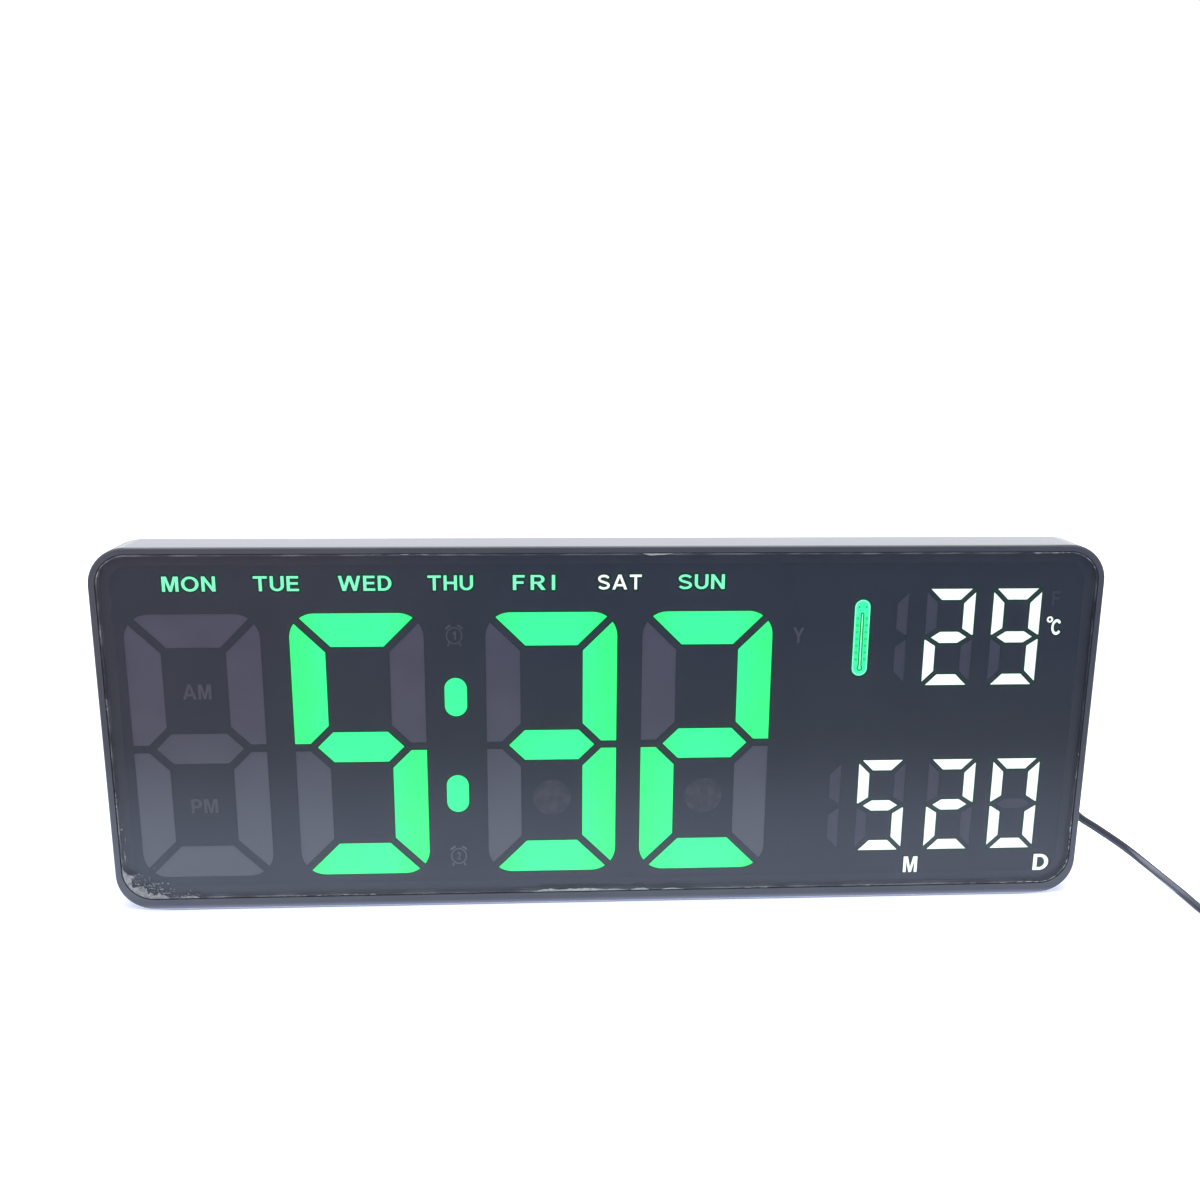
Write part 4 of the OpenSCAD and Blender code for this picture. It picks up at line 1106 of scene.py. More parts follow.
@dataclass
class PowerLead:
    """The thin power lead: out behind the right end, to a tied coil and its plug."""

    diameter: float = 3.0
    length: float = 1.2
    coil_centre: Point2 = (246.7, -73.0)
    coil_radius: float = 21.7
    coil_low: float = 2.8
    pitch: float = 3.5
    turns: float = 9.5
    layer: float = 2.375
    climb: float = 0.5
    steps: int = 36
    smoothing: int = 3
    roundness: int = 4
    route: tuple[Point3, ...] = (
        (164, -14.5, 43), (166, -14.5, 43), (170.4, -14.5, 41.9), (174.6, -14.6, 38.9), (179, -14.7, 34.2),
        (184, -14.9, 28.5), (190, -15.2, 22.4), (196.5, -15.7, 18.2), (203, -16.8, 14), (209.2, -18.5, 9.8),
        (214.4, -21.8, 5.9), (218, -27, 3.2), (219.8, -33.5, 2), (220.6, -40.5, 1.6), (220.8, -47.5, 1.5),
        (221, -53.5, 1.5), (222.2, -59, 1.7), (224, -64, 2.3), (225, -67, 2.8), (225, -70, 2.8),
    )
    tail_shares: tuple[Point3, ...] = (
        (0.1, 0, 0), (0.24, 0.08, 0.09), (0.4, 0.28, 0.3), (0.56, 0.55, 0.58),
        (0.72, 0.82, 0.83), (0.88, 1, 1), (1, 1, 1),
    )
    tail_start: Point3 = (268.4, -70.0, 13.3)
    tail_span: Point3 = (3.0, 30.0, -9.3)

    def coil_point(self, turn: float) -> Vector:
        """Give a point of the coil, in millimetres, after a number of turns.

        Args:
            turn: The turns so far.

        Returns:
            The point.
        """
        layer = math.floor(turn / self.layer)
        part = turn - layer * self.layer
        swing = self.layer - part if layer % 2 else part
        radius = self.coil_radius - self.pitch * swing
        rise = sum(min(1.0, max(0.0, (turn - k * self.layer) / self.climb + 0.5)) for k in (1, 2, 3))
        angle = math.radians(180.0 + 360.0 * turn)
        x, y = self.coil_centre
        height = self.coil_low + self.pitch * rise
        return Vector((x + radius * math.cos(angle), y + radius * math.sin(angle), height))

    def line(self) -> list[Vector]:
        """Give the whole lead's middle line, in metres.

        Returns:
            The line's points, from the case to the plug.
        """
        count = round(self.turns * self.steps)
        coil = [self.coil_point(k * self.turns / count) for k in range(1, count)]
        start = Vector(self.tail_start)
        tail = [
            start + Vector((s[1] * self.tail_span[0], s[0] * self.tail_span[1], s[2] * self.tail_span[2]))
            for s in self.tail_shares
        ]
        points = [*(Vector(p) for p in self.route), *coil, start, *tail]
        return [p * MM for p in smooth_path(points, self.smoothing)]

    def build(self, finishes: Finishes, nodes: Nodes) -> None:
        """Args:
            finishes: The clock's finishes.
            nodes: The CAD nodes by name; not used.
        """
        line = self.line()
        curve = bpy.data.curves.new("lead_cord", "CURVE")
        curve.dimensions = "3D"
        curve.bevel_depth = self.diameter / 2 * MM
        curve.bevel_resolution = self.roundness
        curve.use_fill_caps = True
        spline = curve.splines.new("POLY")
        spline.points.add(len(line) - 1)
        for point, place in zip(spline.points, line):
            point.co = (*place, 1.0)
        spline.use_smooth = True
        cord = link_object("lead_cord", curve)
        finishes.piece(cord, "lead_sheath")
        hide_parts("power_lead", "lead_coil", "lead_tail")
        strap = CoilStrap().build(finishes)
        LOG.info("lead of %.2f m, %d points", self.length, len(line))


@dataclass
class CoilStrap:
    """The woven strap round the put-away coil, its end lapped over and sewn."""

    middle_x: float = 246.7
    width: float = 6.0
    inner: Box2 = (-62.11, -49.5, 1.0, 15.1)
    corner: float = 2.0
    corner_steps: int = 8
    band: float = 0.6
    lap: float = 0.38
    lap_low: float = 5.0
    stitch_rows: Point2 = (-3.6, -5.6)
    stitch_count: int = 6
    stitch_reach: float = 2.2
    stitch_pitch: float = 0.88
    stitch_sunk: float = 0.05
    stitch: Point3 = (0.7, 0.24, 0.12)

    def path(self, out: float) -> list[tuple[Vector, Vector]]:
        """Give places and outward directions round the loop, in Y and Z.

        Args:
            out: How far outside the loop's inner face the places are.

        Returns:
            Pairs of place and direction, from the middle of the top, towards the front.
        """
        y0, y1, z0, z1 = self.inner
        corners = ((y0, z1, 90), (y0, z0, 180), (y1, z0, 270), (y1, z1, 0))
        made = [(Vector(((y0 + y1) / 2, z1 + out)), Vector((0.0, 1.0)))]
        for y, z, start in corners:
            inwards = math.copysign(self.corner, (y0 + y1) / 2 - y)
            upwards = math.copysign(self.corner, (z0 + z1) / 2 - z)
            centre = Vector((y + inwards, z + upwards))
            for k in range(self.corner_steps + 1):
                angle = math.radians(start + 90 * k / self.corner_steps)
                way = Vector((math.cos(angle), math.sin(angle)))
                made.append((centre + way * (self.corner + out), way))
        return made

    def band_mesh(
        self, name: str, places: Sequence[tuple[Vector, Vector]], thick: float, closed: bool,
    ) -> bpy.types.Object:
        """Sweep the strap's rounded section along places in Y and Z.

        Args:
            name: The piece's name.
            places: Pairs of place and outward direction, in millimetres.
            thick: The strap's thickness.
            closed: Whether the last place joins the first.

        Returns:
            The strap's object.
        """
        half, soft = self.width / 2, thick * 0.35
        section = [
            (-half + soft, 0.0), (half - soft, 0.0), (half, soft), (half, thick - soft), (half - soft, thick),
            (half / 2, thick), (0.0, thick), (-half / 2, thick), (-half + soft, thick), (-half, thick - soft),
            (-half, soft),
        ]
        mesh = bmesh.new()
        rings = []
        for place, way in places:
            ring = []
            for across, up in section:
                spot = place + way * up
                ring.append(mesh.verts.new(millimetres((self.middle_x + across, spot.x, spot.y))))
            rings.append(ring)
        pairs = list(zip(rings, rings[1:]))
        if closed:
            pairs.append((rings[-1], rings[0]))
        for first, second in pairs:
            for k in range(len(section)):
                ahead = (k + 1) % len(section)
                mesh.faces.new((first[k], first[ahead], second[ahead], second[k]))
        if not closed:
            mesh.faces.new(rings[0])
            mesh.faces.new(rings[-1][::-1])
        made = from_bmesh(name, mesh)
        for face in made.data.polygons:
            face.use_smooth = True
        return made

    def build(self, finishes: Finishes) -> list[bpy.types.Object]:
        """Make the loop, its lapped end and the stitches.

        Args:
            finishes: The clock's finishes.

        Returns:
            The strap's pieces.
        """
        loop = self.band_mesh("coil_strap", self.path(0.0), self.band, True)
        finishes.piece(loop, "tie_fabric")
        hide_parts("coil_tie")
        lapped = self.path(self.band)
        last_corner = 1 + 3 * (self.corner_steps + 1)
        lapped = [lapped[0], *reversed(lapped[last_corner:])]
        end = lapped[-1]
        lapped.append((Vector((end[0].x, self.lap_low)), end[1]))
        tab = self.band_mesh("coil_strap_end", lapped, self.lap, False)
        finishes.piece(tab, "tie_fabric")
        _, y1, _, z1 = self.inner
        rows = []
        beads = BarRow(RowShape.BEAD)
        for k, y in enumerate(self.stitch_rows):
            row = beads.make(
                f"coil_strap_stitches_{k + 1}",
                (self.middle_x - self.stitch_reach, y1 + y, z1 + self.band + self.lap - self.stitch_sunk),
                (self.stitch_pitch, 0.0, 0.0), self.stitch_count, self.stitch, finishes.by_slot["tie_fabric"],
            )
            rows.append(finishes.carried(row))
        return [loop, tab, *rows]


@dataclass
class Display:
    """The glowing and dark signs that show through the smoked panel."""

    print_front: float = -32.775
    print_back: float = -32.735
    outline_front: float = -32.73
    outline_back: float = -32.71
    outline_width: float = 0.65
    pill_outline: float = 0.9
    thinned: float = -0.09
    eye_x: float = -24.7
    eye_z: float = 209.5
    sink: float = 0.00578
    days: tuple[tuple[str, float, float], ...] = (
        ("MON", -154.8, -136.4), ("TUE", -123.6, -107.8), ("WED", -94.4, -75.8), ("THU", -63.4, -47.4),
        ("FRI", -33.6, -18.6), ("SAT", -3.6, 12.0), ("SUN", 25.0, 41.6),
    )
    day_low: float = 120.4
    day_high: float = 125.9
    units: tuple[tuple[str, float, float, float, float], ...] = (
        ("C", 161.8, 165.2, 102.7, 108.6), ("M", 113.3, 118.6, 9.7, 16.1), ("D", 163.7, 169.6, 9.6, 16.2),
    )
    dark_words: tuple[tuple[str, float, float, float, float], ...] = (
        ("AM", -150.5, -140.5, 81.3, 86.8), ("PM", -150.5, -141.0, 38.0, 43.5),
        ("Y", 66.9, 70.9, 100.4, 106.1),
    )
    lit_digits: tuple[tuple[str, float], ...] = (
        ("hour_units_lit", -89.1), ("minute_tens_lit", -20.0), ("minute_units_lit", 36.3),
    )
    lit_shapes: tuple[str, ...] = ("colon_dots", "thermometer_window", "temperature_lit", "date_lit")
    wide_day: str = "FRI"
    wide_space: float = 0.16
    white_day: str = "SAT"
    degree: Point2 = (161.0, 108.5)
    degree_radii: Point2 = (1.15, 0.55)
    dark_degree: Box2 = (161.0, 164.0, 113.7, 119.2)
    alarm_x: float = -54.5
    alarm_heights: Point2 = (104.0, 19.5)
    tube_line: float = 0.48
    scale_side: float = 1.65
    scale_pitch: float = 2.55
    scale_rows: tuple[tuple[str, float, int, float, float], ...] = (
        ("scale", 6.3, 7, 1.1, 1.15), ("ticks", 7.57, 6, 0.8, 0.35),
    )

    def layer(self) -> FlatPrint:
        """Start a print on the film."""
        return FlatPrint(self.print_front, self.print_back)

    def sunk(self, x: float, z: float) -> Point2:
        """Move a place seen on the panel's front to the film behind it."""
        return x + self.sink * (x - self.eye_x), z + self.sink * (z - self.eye_z)

    def sunk_box(self, left: float, right: float, low: float, high: float) -> Box2:
        """Move a box seen on the panel's front to the film behind it.

        Args:
            left: The left edge.
            right: The right edge.
            low: The low edge.
            high: The high edge.

        Returns:
            The moved edges, in the same order.
        """
        x0, z0 = self.sunk(left, low)
        x1, z1 = self.sunk(right, high)
        return x0, x1, z0, z1

    def light_digits(self, finishes: Finishes, nodes: Nodes) -> None:
        """Give each lit digit its own glow, bluer about its middle.

        Args:
            finishes: The clock's finishes.
            nodes: The CAD nodes by name.
        """
        for name, x in self.lit_digits:
            glow = GlowFinish(f"glow_{name}", finishes.cyan, finishes.green, 2.9, x * MM, (0.0066, 0.022))
            dress(nodes[name], glow.material())
        dress(nodes["colon_dots"], plain_glow("glow_colon", finishes.cyan))
        low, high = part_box("thermometer_window")
        half = (high.x - low.x) / 2
        pill = GlowFinish(
            "glow_thermometer", (0.03, 1.0, 0.4), (0.26, 1.0, 0.66), 2.7, (low.x + high.x) / 2,
            (half * 0.7, half * 0.92), 0.0012, ((low.z + high.z) / 2, (high.z - low.z) / 2 - half))
        dress(nodes["thermometer_window"], pill.material())
        faint = Finish("faint_segment", (0.32, 0.31, 0.43), (0.29, 0.28, 0.39), (0.5, 0.6), relief=0.000001)
        milky = faint.material()
        for name in ("temperature_unlit", "date_unlit"):
            dress(nodes[name], milky)

    def outlines(self, finishes: Finishes, nodes: Nodes) -> None:
        """Lay a painted dark gap, with a faint painted green glow, round every lit shape.

        Args:
            finishes: The clock's finishes.
            nodes: The CAD nodes by name.
        """
        border = FlatPrint(self.outline_front, self.outline_back)
        for name in (*dict(self.lit_digits), *self.lit_shapes):
            width = self.pill_outline if name == "thermometer_window" else self.outline_width
            for outline in front_outlines(nodes[name]):
                border.ring(widened(outline, width * MM), outline)
        # The ring's near-black base is painted shade, and its faint green light is a painted glow
        ink = plain_glow("painted_glow_round_segments", (0.0, 0.09, 0.015), 1.0)
        finishes.inked(border, "painted_gaps_round_segments", ink)

    def signs(self, finishes: Finishes) -> None:
        """Print the day names and the small signs, with a painted dark gap and a faint painted green glow
        round each.

        Args:
            finishes: The clock's finishes.
        """
        glowing = self.layer()
        # Round each sign goes a painted dark gap with a faint painted green glow
        edges = FlatPrint(self.outline_front, self.outline_back)
        white = self.layer()
        for name, left, right in self.days:
            box = self.sunk_box(left, right, self.day_low, self.day_high)
            space = self.wide_space if name == self.wide_day else 0.0
            (white if name == self.white_day else glowing).words(name, box, self.thinned, space)
            edges.halo(name, box, self.outline_width, space)
        for name, *spot in self.units:
            box = self.sunk_box(*spot)
            white.words(name, box)
            edges.halo(name, box, self.outline_width)
        degree = self.sunk(*self.degree)
        white.ring(*(arc(degree, (radius, radius)) for radius in self.degree_radii))
        finishes.inked(glowing, "day_names", plain_glow("glow_days", (0.2, 1.0, 0.5), 2.8))
        finishes.piece(white.make("white_signs"), "lit_white")
        finishes.inked(edges, "painted_gaps_round_signs", plain_glow("painted_glow_round_signs", (0.0, 0.06, 0.02), 1.0))

    def ghosts(self, finishes: Finishes) -> None:
        """Print the small signs whose light is off.

        Args:
            finishes: The clock's finishes.
        """
        dark = self.layer()
        for name, *spot in self.dark_words:
            dark.words(name, self.sunk_box(*spot))
        unit = self.layer()
        unit.words("F", self.sunk_box(*self.dark_degree))
        # The lower alarm sign takes a lighter copy of the sign ink, painted light for the brighter glare low
        # on the panel
        lower = self.layer()
        for layer, number, z in zip((dark, lower), "12", self.alarm_heights):
            self.alarm_sign(layer, number, *self.sunk(self.alarm_x, z))
        for layer, name, ink, light, shade in (
            (dark, "dark_signs", "dark_sign_ink", (0.4, 0.39, 0.48), (0.36, 0.35, 0.43)),
            (lower, "dark_alarm_sign", "sign_ink_painted_lighter", (0.66, 0.62, 0.74), (0.6, 0.56, 0.68)),
            (unit, "dark_unit", "faint_sign_ink", (0.23, 0.22, 0.28), (0.2, 0.19, 0.25)),
        ):
            finishes.inked(layer, name, Finish(ink, light, shade, (0.5, 0.6)).material())

    def alarm_sign(self, dark: FlatPrint, number: str, x: float, z: float) -> None:
        """Print one small alarm clock with a number in it.

        Args:
            dark: The print that it goes into.
            number: The figure in it.
            x: Its middle along X, in millimetres.
            z: Its middle along Z.
        """
        dark.ring(arc((x, z), (2.95, 3.2)), arc((x, z), (2.5, 2.75)))
        for side in (-1, 1):
            bell = bow((x, z), (3.75, 4.0), 90 - side * 18, 90 - side * 52, 6)
            foot = [(x + side * 1.9, z - 2.7), (x + side * 2.35, z - 3.9)]
            for line, width in ((bell, 0.75), (foot, 0.55)):
                outline = stroked(line, width)
                order = outline if turn_of(outline) > 0 else outline[::-1]
                dark.patch(order)
        dark.words(number, (x - 0.65, x + 0.65, z - 1.6, z + 1.6))

    def thermometer(self, finishes: Finishes) -> None:
        """Print the thermometer's fine tube, bulb and scale on its pill.

        Args:
            finishes: The clock's finishes.
        """
        low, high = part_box("thermometer_window")
        x, z = (low.x + high.x) / 2 / MM, low.z / MM
        tube = self.layer()
        lines = (
            bow((x, z + 3.0), (0.85, 0.9), 125, 415, 18), [(x - 0.5, z + 3.8), (x - 0.42, z + 23.3)],
            [(x + 0.42, z + 23.3), (x + 0.5, z + 3.8)], [(x - 0.6, z + 23.6), (x + 0.6, z + 23.6)],
        )
        for line in lines:
            tube.patch(stroked(line, self.tube_line))
        for side in (-1, 1):
            tube.polygon(arc((x + side * 1.3, z + 25.9), (0.4, 0.3), steps=10))
        finishes.inked(tube, "thermometer_tube", plain_glow("tube_ink", (0.0, 0.8, 0.05), 1.0))
        ink = plain_glow("scale_ink", (0.0, 0.98, 0.18), 1.9)
        core = self.layer()
        core.patch(((x - 0.2, z + 2.6), (x + 0.2, z + 2.6), (x + 0.16, z + 23.1), (x - 0.16, z + 23.1)))
        finishes.inked(core, "thermometer_core", plain_glow("core_glow", (0.4, 1.0, 0.75)))
        blocks = BarRow(RowShape.BLOCK)
        depth, thick = (self.print_front + self.print_back) / 2, self.print_back - self.print_front
        for side, hand in ((-1, "left"), (1, "right")):
            for kind, start, count, wide, tall in self.scale_rows:
                row = blocks.make(
                    f"thermometer_{kind}_{hand}", (x + side * self.scale_side, depth, z + start),
                    (0.0, 0.0, self.scale_pitch), count, (wide, thick, tall), ink,
                )
                finishes.carried(row)

    def build(self, finishes: Finishes, nodes: Nodes) -> None:
        """Light the digits and print every sign.

        Args:
            finishes: The clock's finishes.
            nodes: The CAD nodes by name.
        """
        self.light_digits(finishes, nodes)
        self.outlines(finishes, nodes)
        self.signs(finishes)
        self.ghosts(finishes)
        self.thermometer(finishes)
        LOG.info("display with %d day names", len(self.days))


@dataclass
class PanelEdge:
    """What shows along the front panel's edge: border tape, a painted shadow line along the gap, chips and
    dried glue.

    Places along the edge are millimetres from the middle of its bottom, to the right and on round.
    """

    corner: float = 11.05
    proud: float = 0.04
    sunk: float = 0.01
    seam: float = 0.22
    tape: tuple[float, float, float, float] = (0.35, 4.2, 0.01, 0.08)
    seed: int = 11
    step: float = 0.35
    rough_break: float = 0.22
    clean_break: float = 0.09
    breadth: tuple[float, float, float] = (0.3, 0.7, 1.1)
    taper: Point2 = (2.5, 12.0)
    taper_share: float = 0.3
    tip: float = 0.12
    dash: Point2 = (0.9, 3.6)
    dash_gap: float = 0.25
    dash_inset: float = 0.15
    dash_width: Point2 = (0.5, 1.2)
    flake_size: Point2 = (0.3, 0.8)
    flake_room: float = 0.6
    splinters: tuple[tuple[float, float, float], ...] = (
        (-27.0, 8.5, 1.35), (9.5, 16.5, 0.9), (21.0, 30.0, 0.8), (452.0, 463.0, 0.7),
    )
    chips: tuple[tuple[float, float, float, float], ...] = (
        (45, 60, 0.4, 0.22), (95, 110, 0.4, 0.22), (140, 152, 0.35, 0.3), (158, 200, 0.85, 0.4),
        (215, 260, 0.15, 0.25), (296, 322, 0.9, 0.25), (535, 575, 0.3, 0.22), (641, 660, 0.5, 0.2),
        (668, 676, 0.6, 0.3), (698, 706, 0.6, 0.3), (735, 764, 0.6, 0.28), (830, 870, 0.4, 0.22),
    )
    smear: tuple[float, float, float] = (765.0, 789.0, 3.6)
    streaks: tuple[tuple[float, float, float, float], ...] = (
        (779.5, 783.0, 5.2, 0.45), (782.0, 786.5, 6.1, 0.35), (780.0, 784.0, 4.2, 0.3),
        (786.0, 790.0, 2.3, 0.6), (792.0, 800.0, 0.25, 1.0), (757.5, 763.0, 1.6, 0.3),
        (752.5, 754.5, 2.4, 0.25), (785.6, 787.0, 3.8, 1.2),
    )
    flakes: tuple[tuple[int, float, float, float, float], ...] = (
        (110, 768, 791, 3.0, 7.5), (30, 788, 800, 0.8, 3.4), (8, 746, 764, 0.6, 2.4),
        (4, 772, 790, 8.0, 13.0),
    )

    def __post_init__(self) -> None:
        """Take the panel's size from the frame, and start the dice from a fixed seed."""
        low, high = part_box("front_panel")
        self.half_width, self.low, self.high = high.x / MM, low.z / MM, high.z / MM
        self.face, self.back = low.y / MM, high.y / MM
        self.dice = random.Random(self.seed)

    def loop(self, inset: float) -> list[Point2]:
        """Give the panel's whole outline, moved inwards, in metres.

        Args:
            inset: How far it is moved, in millimetres.

        Returns:
            The outline's points.
        """
        x, r = self.half_width - self.corner, self.corner - inset
        low, high = self.low + self.corner, self.high - self.corner
        corners = ((x, low, 270.0), (x, high, 0.0), (-x, high, 90.0), (-x, low, 180.0))
        return [p for a, b, start in corners for p in arc((a, b), (r, r), start, start + 90.0, 16)]

    def edge(self, along: float, inset: float) -> Point2:
        """Give a place near the panel's edge.

        Args:
            along: How far along the edge it is.
            inset: How far inside the edge it is.

        Returns:
            Its X and Z, in millimetres.
        """
        level, upright = self.half_width - self.corner, self.high - self.low - 2 * self.corner
        bend = math.pi / 2 * self.corner
        runs = (level, bend, upright, bend, 2 * level, bend, upright, bend, level)
        spot, heading, rest = Vector((0.0, self.low)), 0.0, along % sum(runs)
        for k, length in enumerate(runs):
            run = min(rest, length)
            side = Vector((-math.sin(heading), math.cos(heading)))
            if k % 2:
                heading += run / self.corner
                spot += (side - Vector((-math.sin(heading), math.cos(heading)))) * self.corner
            else:
                spot += Vector((side.y, -side.x)) * run
            rest -= run
        return spot.x - math.sin(heading) * inset, spot.y + math.cos(heading) * inset

    def sliver(
        self, layer: FlatPrint, start: float, end: float, inset: float, width: float,
        ragged: float | None = None,
    ) -> None:
        """Print a ragged strip along the edge, pointed at both its ends.

        Args:
            layer: The print that it goes into.
            start: Where it begins along the edge.
            end: Where it ends.
            inset: How far inside the edge it lies.
            width: Its width at the widest.
            ragged: How much the width jumps from step to step.
        """
        ragged = ragged or self.rough_break
        steps = max(3, round((end - start) / self.step))
        places = [start + (end - start) * k / steps for k in range(steps + 1)]
        outer = [self.edge(s, inset) for s in places]
        least, share, most = self.breadth
        inner = []
        run = max(self.taper[0], min(self.taper[1], steps * self.taper_share))
        for k, s in enumerate(places):
            taper = min(1.0, (min(k, steps - k) + self.tip) / run)
            share = min(most, max(least, share + self.dice.uniform(-ragged, ragged)))
            inner.append(self.edge(s, inset + width * taper * share))
        layer.patch(outer + inner[::-1])

    def flake(self, layer: FlatPrint, middle: Point2, size: float) -> None:
        """Print one ragged flake.

        Args:
            layer: The print that it goes into.
            middle: Its X and Z, in millimetres.
            size: Its width.
        """
        count, turn = self.dice.randint(6, 9), self.dice.uniform(0.0, math.tau)
        flat = self.dice.uniform(0.45, 1.0)
        points = []
        for k in range(count):
            reach, angle = size / 2 * self.dice.uniform(0.4, 1.25), math.tau * k / count
            a, b = reach * math.cos(angle), reach * flat * math.sin(angle)
            points.append((
                middle[0] + a * math.cos(turn) - b * math.sin(turn),
                middle[1] + a * math.sin(turn) + b * math.cos(turn),
            ))
        layer.patch(points)

    def border(self, finishes: Finishes) -> None:
        """Make the tape that shows through the panel, and the painted shadow line of the gap round it.

        Args:
            finishes: The clock's finishes.
        """
        outer, inner, front, back = self.tape
        tape = FlatPrint(self.back + front, self.back + back)
        tape.ring(self.loop(outer), self.loop(inner))
        made = finishes.piece(tape.make("border_tape"), "tape")
        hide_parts("panel_tape")
        # A black ring on the panel's face is a painted shadow that widens the gap's dark line
        seam = FlatPrint(self.face - self.sunk, self.face + self.sunk)
        seam.ring(self.loop(0.0), self.loop(self.seam))
        dark = Finish("seam_shade", (0.012, 0.012, 0.015), (0.008, 0.008, 0.01), (0.7, 0.8))
        finishes.inked(seam, "panel_gap_shadow", dark.material())

    def layer(self) -> FlatPrint:
        """Start a print on the panel's face."""
        return FlatPrint(self.face - self.proud, self.face + self.sunk)

    def broken(self) -> FlatPrint:
        """Print the splinters and chips.

        Returns:
            The print.
        """
        chips = self.layer()
        for start, end, width in self.splinters:
            self.sliver(chips, start, end, self.seam, width, self.clean_break)
        for start, end, share, width in self.chips:
            spot = float(start)
            while spot < end:
                dash = self.dice.uniform(*self.dash)
                if self.dice.random() < share:
                    inset = self.seam + self.dice.uniform(0.0, self.dash_inset)
                    self.sliver(chips, spot, spot + dash, inset, width * self.dice.uniform(*self.dash_width))
                spot += dash + self.dash_gap
        return chips

    def glued(self) -> FlatPrint:
        """Print the smear, streaks and flakes of dried glue, no flake on another.

        Returns:
            The print.
        """
        glue = self.layer()
        self.sliver(glue, *self.smear[:2], self.seam, self.smear[2])
        for streak in self.streaks:
            self.sliver(glue, *streak)
        taken: list[tuple[float, float, float]] = []
        least, spread = self.flake_size
        for count, start, end, near, far in self.flakes:
            for _ in range(count):
                x, z = self.edge(self.dice.uniform(start, end), near + (far - near) * self.dice.random() ** 2)
                size = least + spread * self.dice.random() ** 2
                if all(math.hypot(x - a, z - b) > (size + c) * self.flake_room for a, b, c in taken):
                    self.flake(glue, (x, z), size)
                    taken.append((x, z, size))
        LOG.info("panel edge with %d flakes of glue", len(taken))
        return glue

    def build(self, finishes: Finishes) -> None:
        """Make the border, the chips and the glue.

        Args:
            finishes: The clock's finishes.
        """
        self.border(finishes)
        chipped = Finish("chipped_edge", (0.62, 0.64, 0.69), (0.4, 0.42, 0.46), (0.5, 0.7), patch=0.002)
        dried = Finish("dried_glue", (0.48, 0.505, 0.545), (0.28, 0.295, 0.33), (0.4, 0.6), patch=0.0009)
        finishes.inked(self.broken(), "panel_chips", chipped.material())
        finishes.inked(self.glued(), "glue_flakes", dried.material())


@dataclass
class BackPrint:
    """The plain words under the keys, and the marks of the battery cap."""

    words: tuple[tuple[str, str], ...] = (
        ("button_mode", "MODE"), ("button_up", "UP"), ("button_down", "DOWN"), ("button_alarm", "ALARM"),
        ("button_dimmer", "DIM"),
    )
    letter: float = 2.1
    drop: float = 3.2
    proud: float = 0.03
    sunk: float = 0.01
    space: float = 0.05
    mark_reach: float = 16.6
    mark: Point2 = (2.0, 1.1)
    marks: tuple[float, ...] = (90.0, 135.0)
    dot_rise: float = 10.4
    dot_radius: float = 0.8

    def build(self, finishes: Finishes) -> None:
        """Print the words and the marks.

        Args:
            finishes: The clock's finishes.
        """
        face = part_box("back_cover")[1].y / MM
        ink = FlatPrint(face + self.proud, face - self.sunk)
        for key, word in self.words:
            low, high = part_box(key)
            middle = (low.x + high.x) / 2 / MM
            half = max(x for loop in BoldLetters().word(word, self.space) for x, _ in loop) * self.letter / 2
            top = low.z / MM - self.drop
            ink.words(word, (middle + half, middle - half, top - self.letter, top), 0.0, self.space)
        low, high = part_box("battery_cap")
        x, z = (low.x + high.x) / 2 / MM, (low.z + high.z) / 2 / MM
        for turn in self.marks:
            out = Vector((-math.cos(math.radians(turn)), math.sin(math.radians(turn))))
            side = Vector((-out.y, out.x))
            tip = Vector((x, z)) + out * self.mark_reach
            base = Vector((x, z)) + out * (self.mark_reach + self.mark[0])
            ink.patch((tip, base + side * self.mark[1], base - side * self.mark[1]))
        grey = Finish("grey_ink", (0.5, 0.5, 0.51), (0.42, 0.42, 0.43), (0.5, 0.65), patch=0.003).material()
        finishes.inked(ink, "back_words", grey)
        cap_face = high.y / MM
        dot = FlatPrint(cap_face + self.proud, cap_face - self.sunk)
        dot.polygon(arc((x, z + self.dot_rise), (self.dot_radius, self.dot_radius), steps=16))
        finishes.inked(dot, "cap_dot", grey, "battery_door")
        LOG.info("back with %d words", len(self.words))


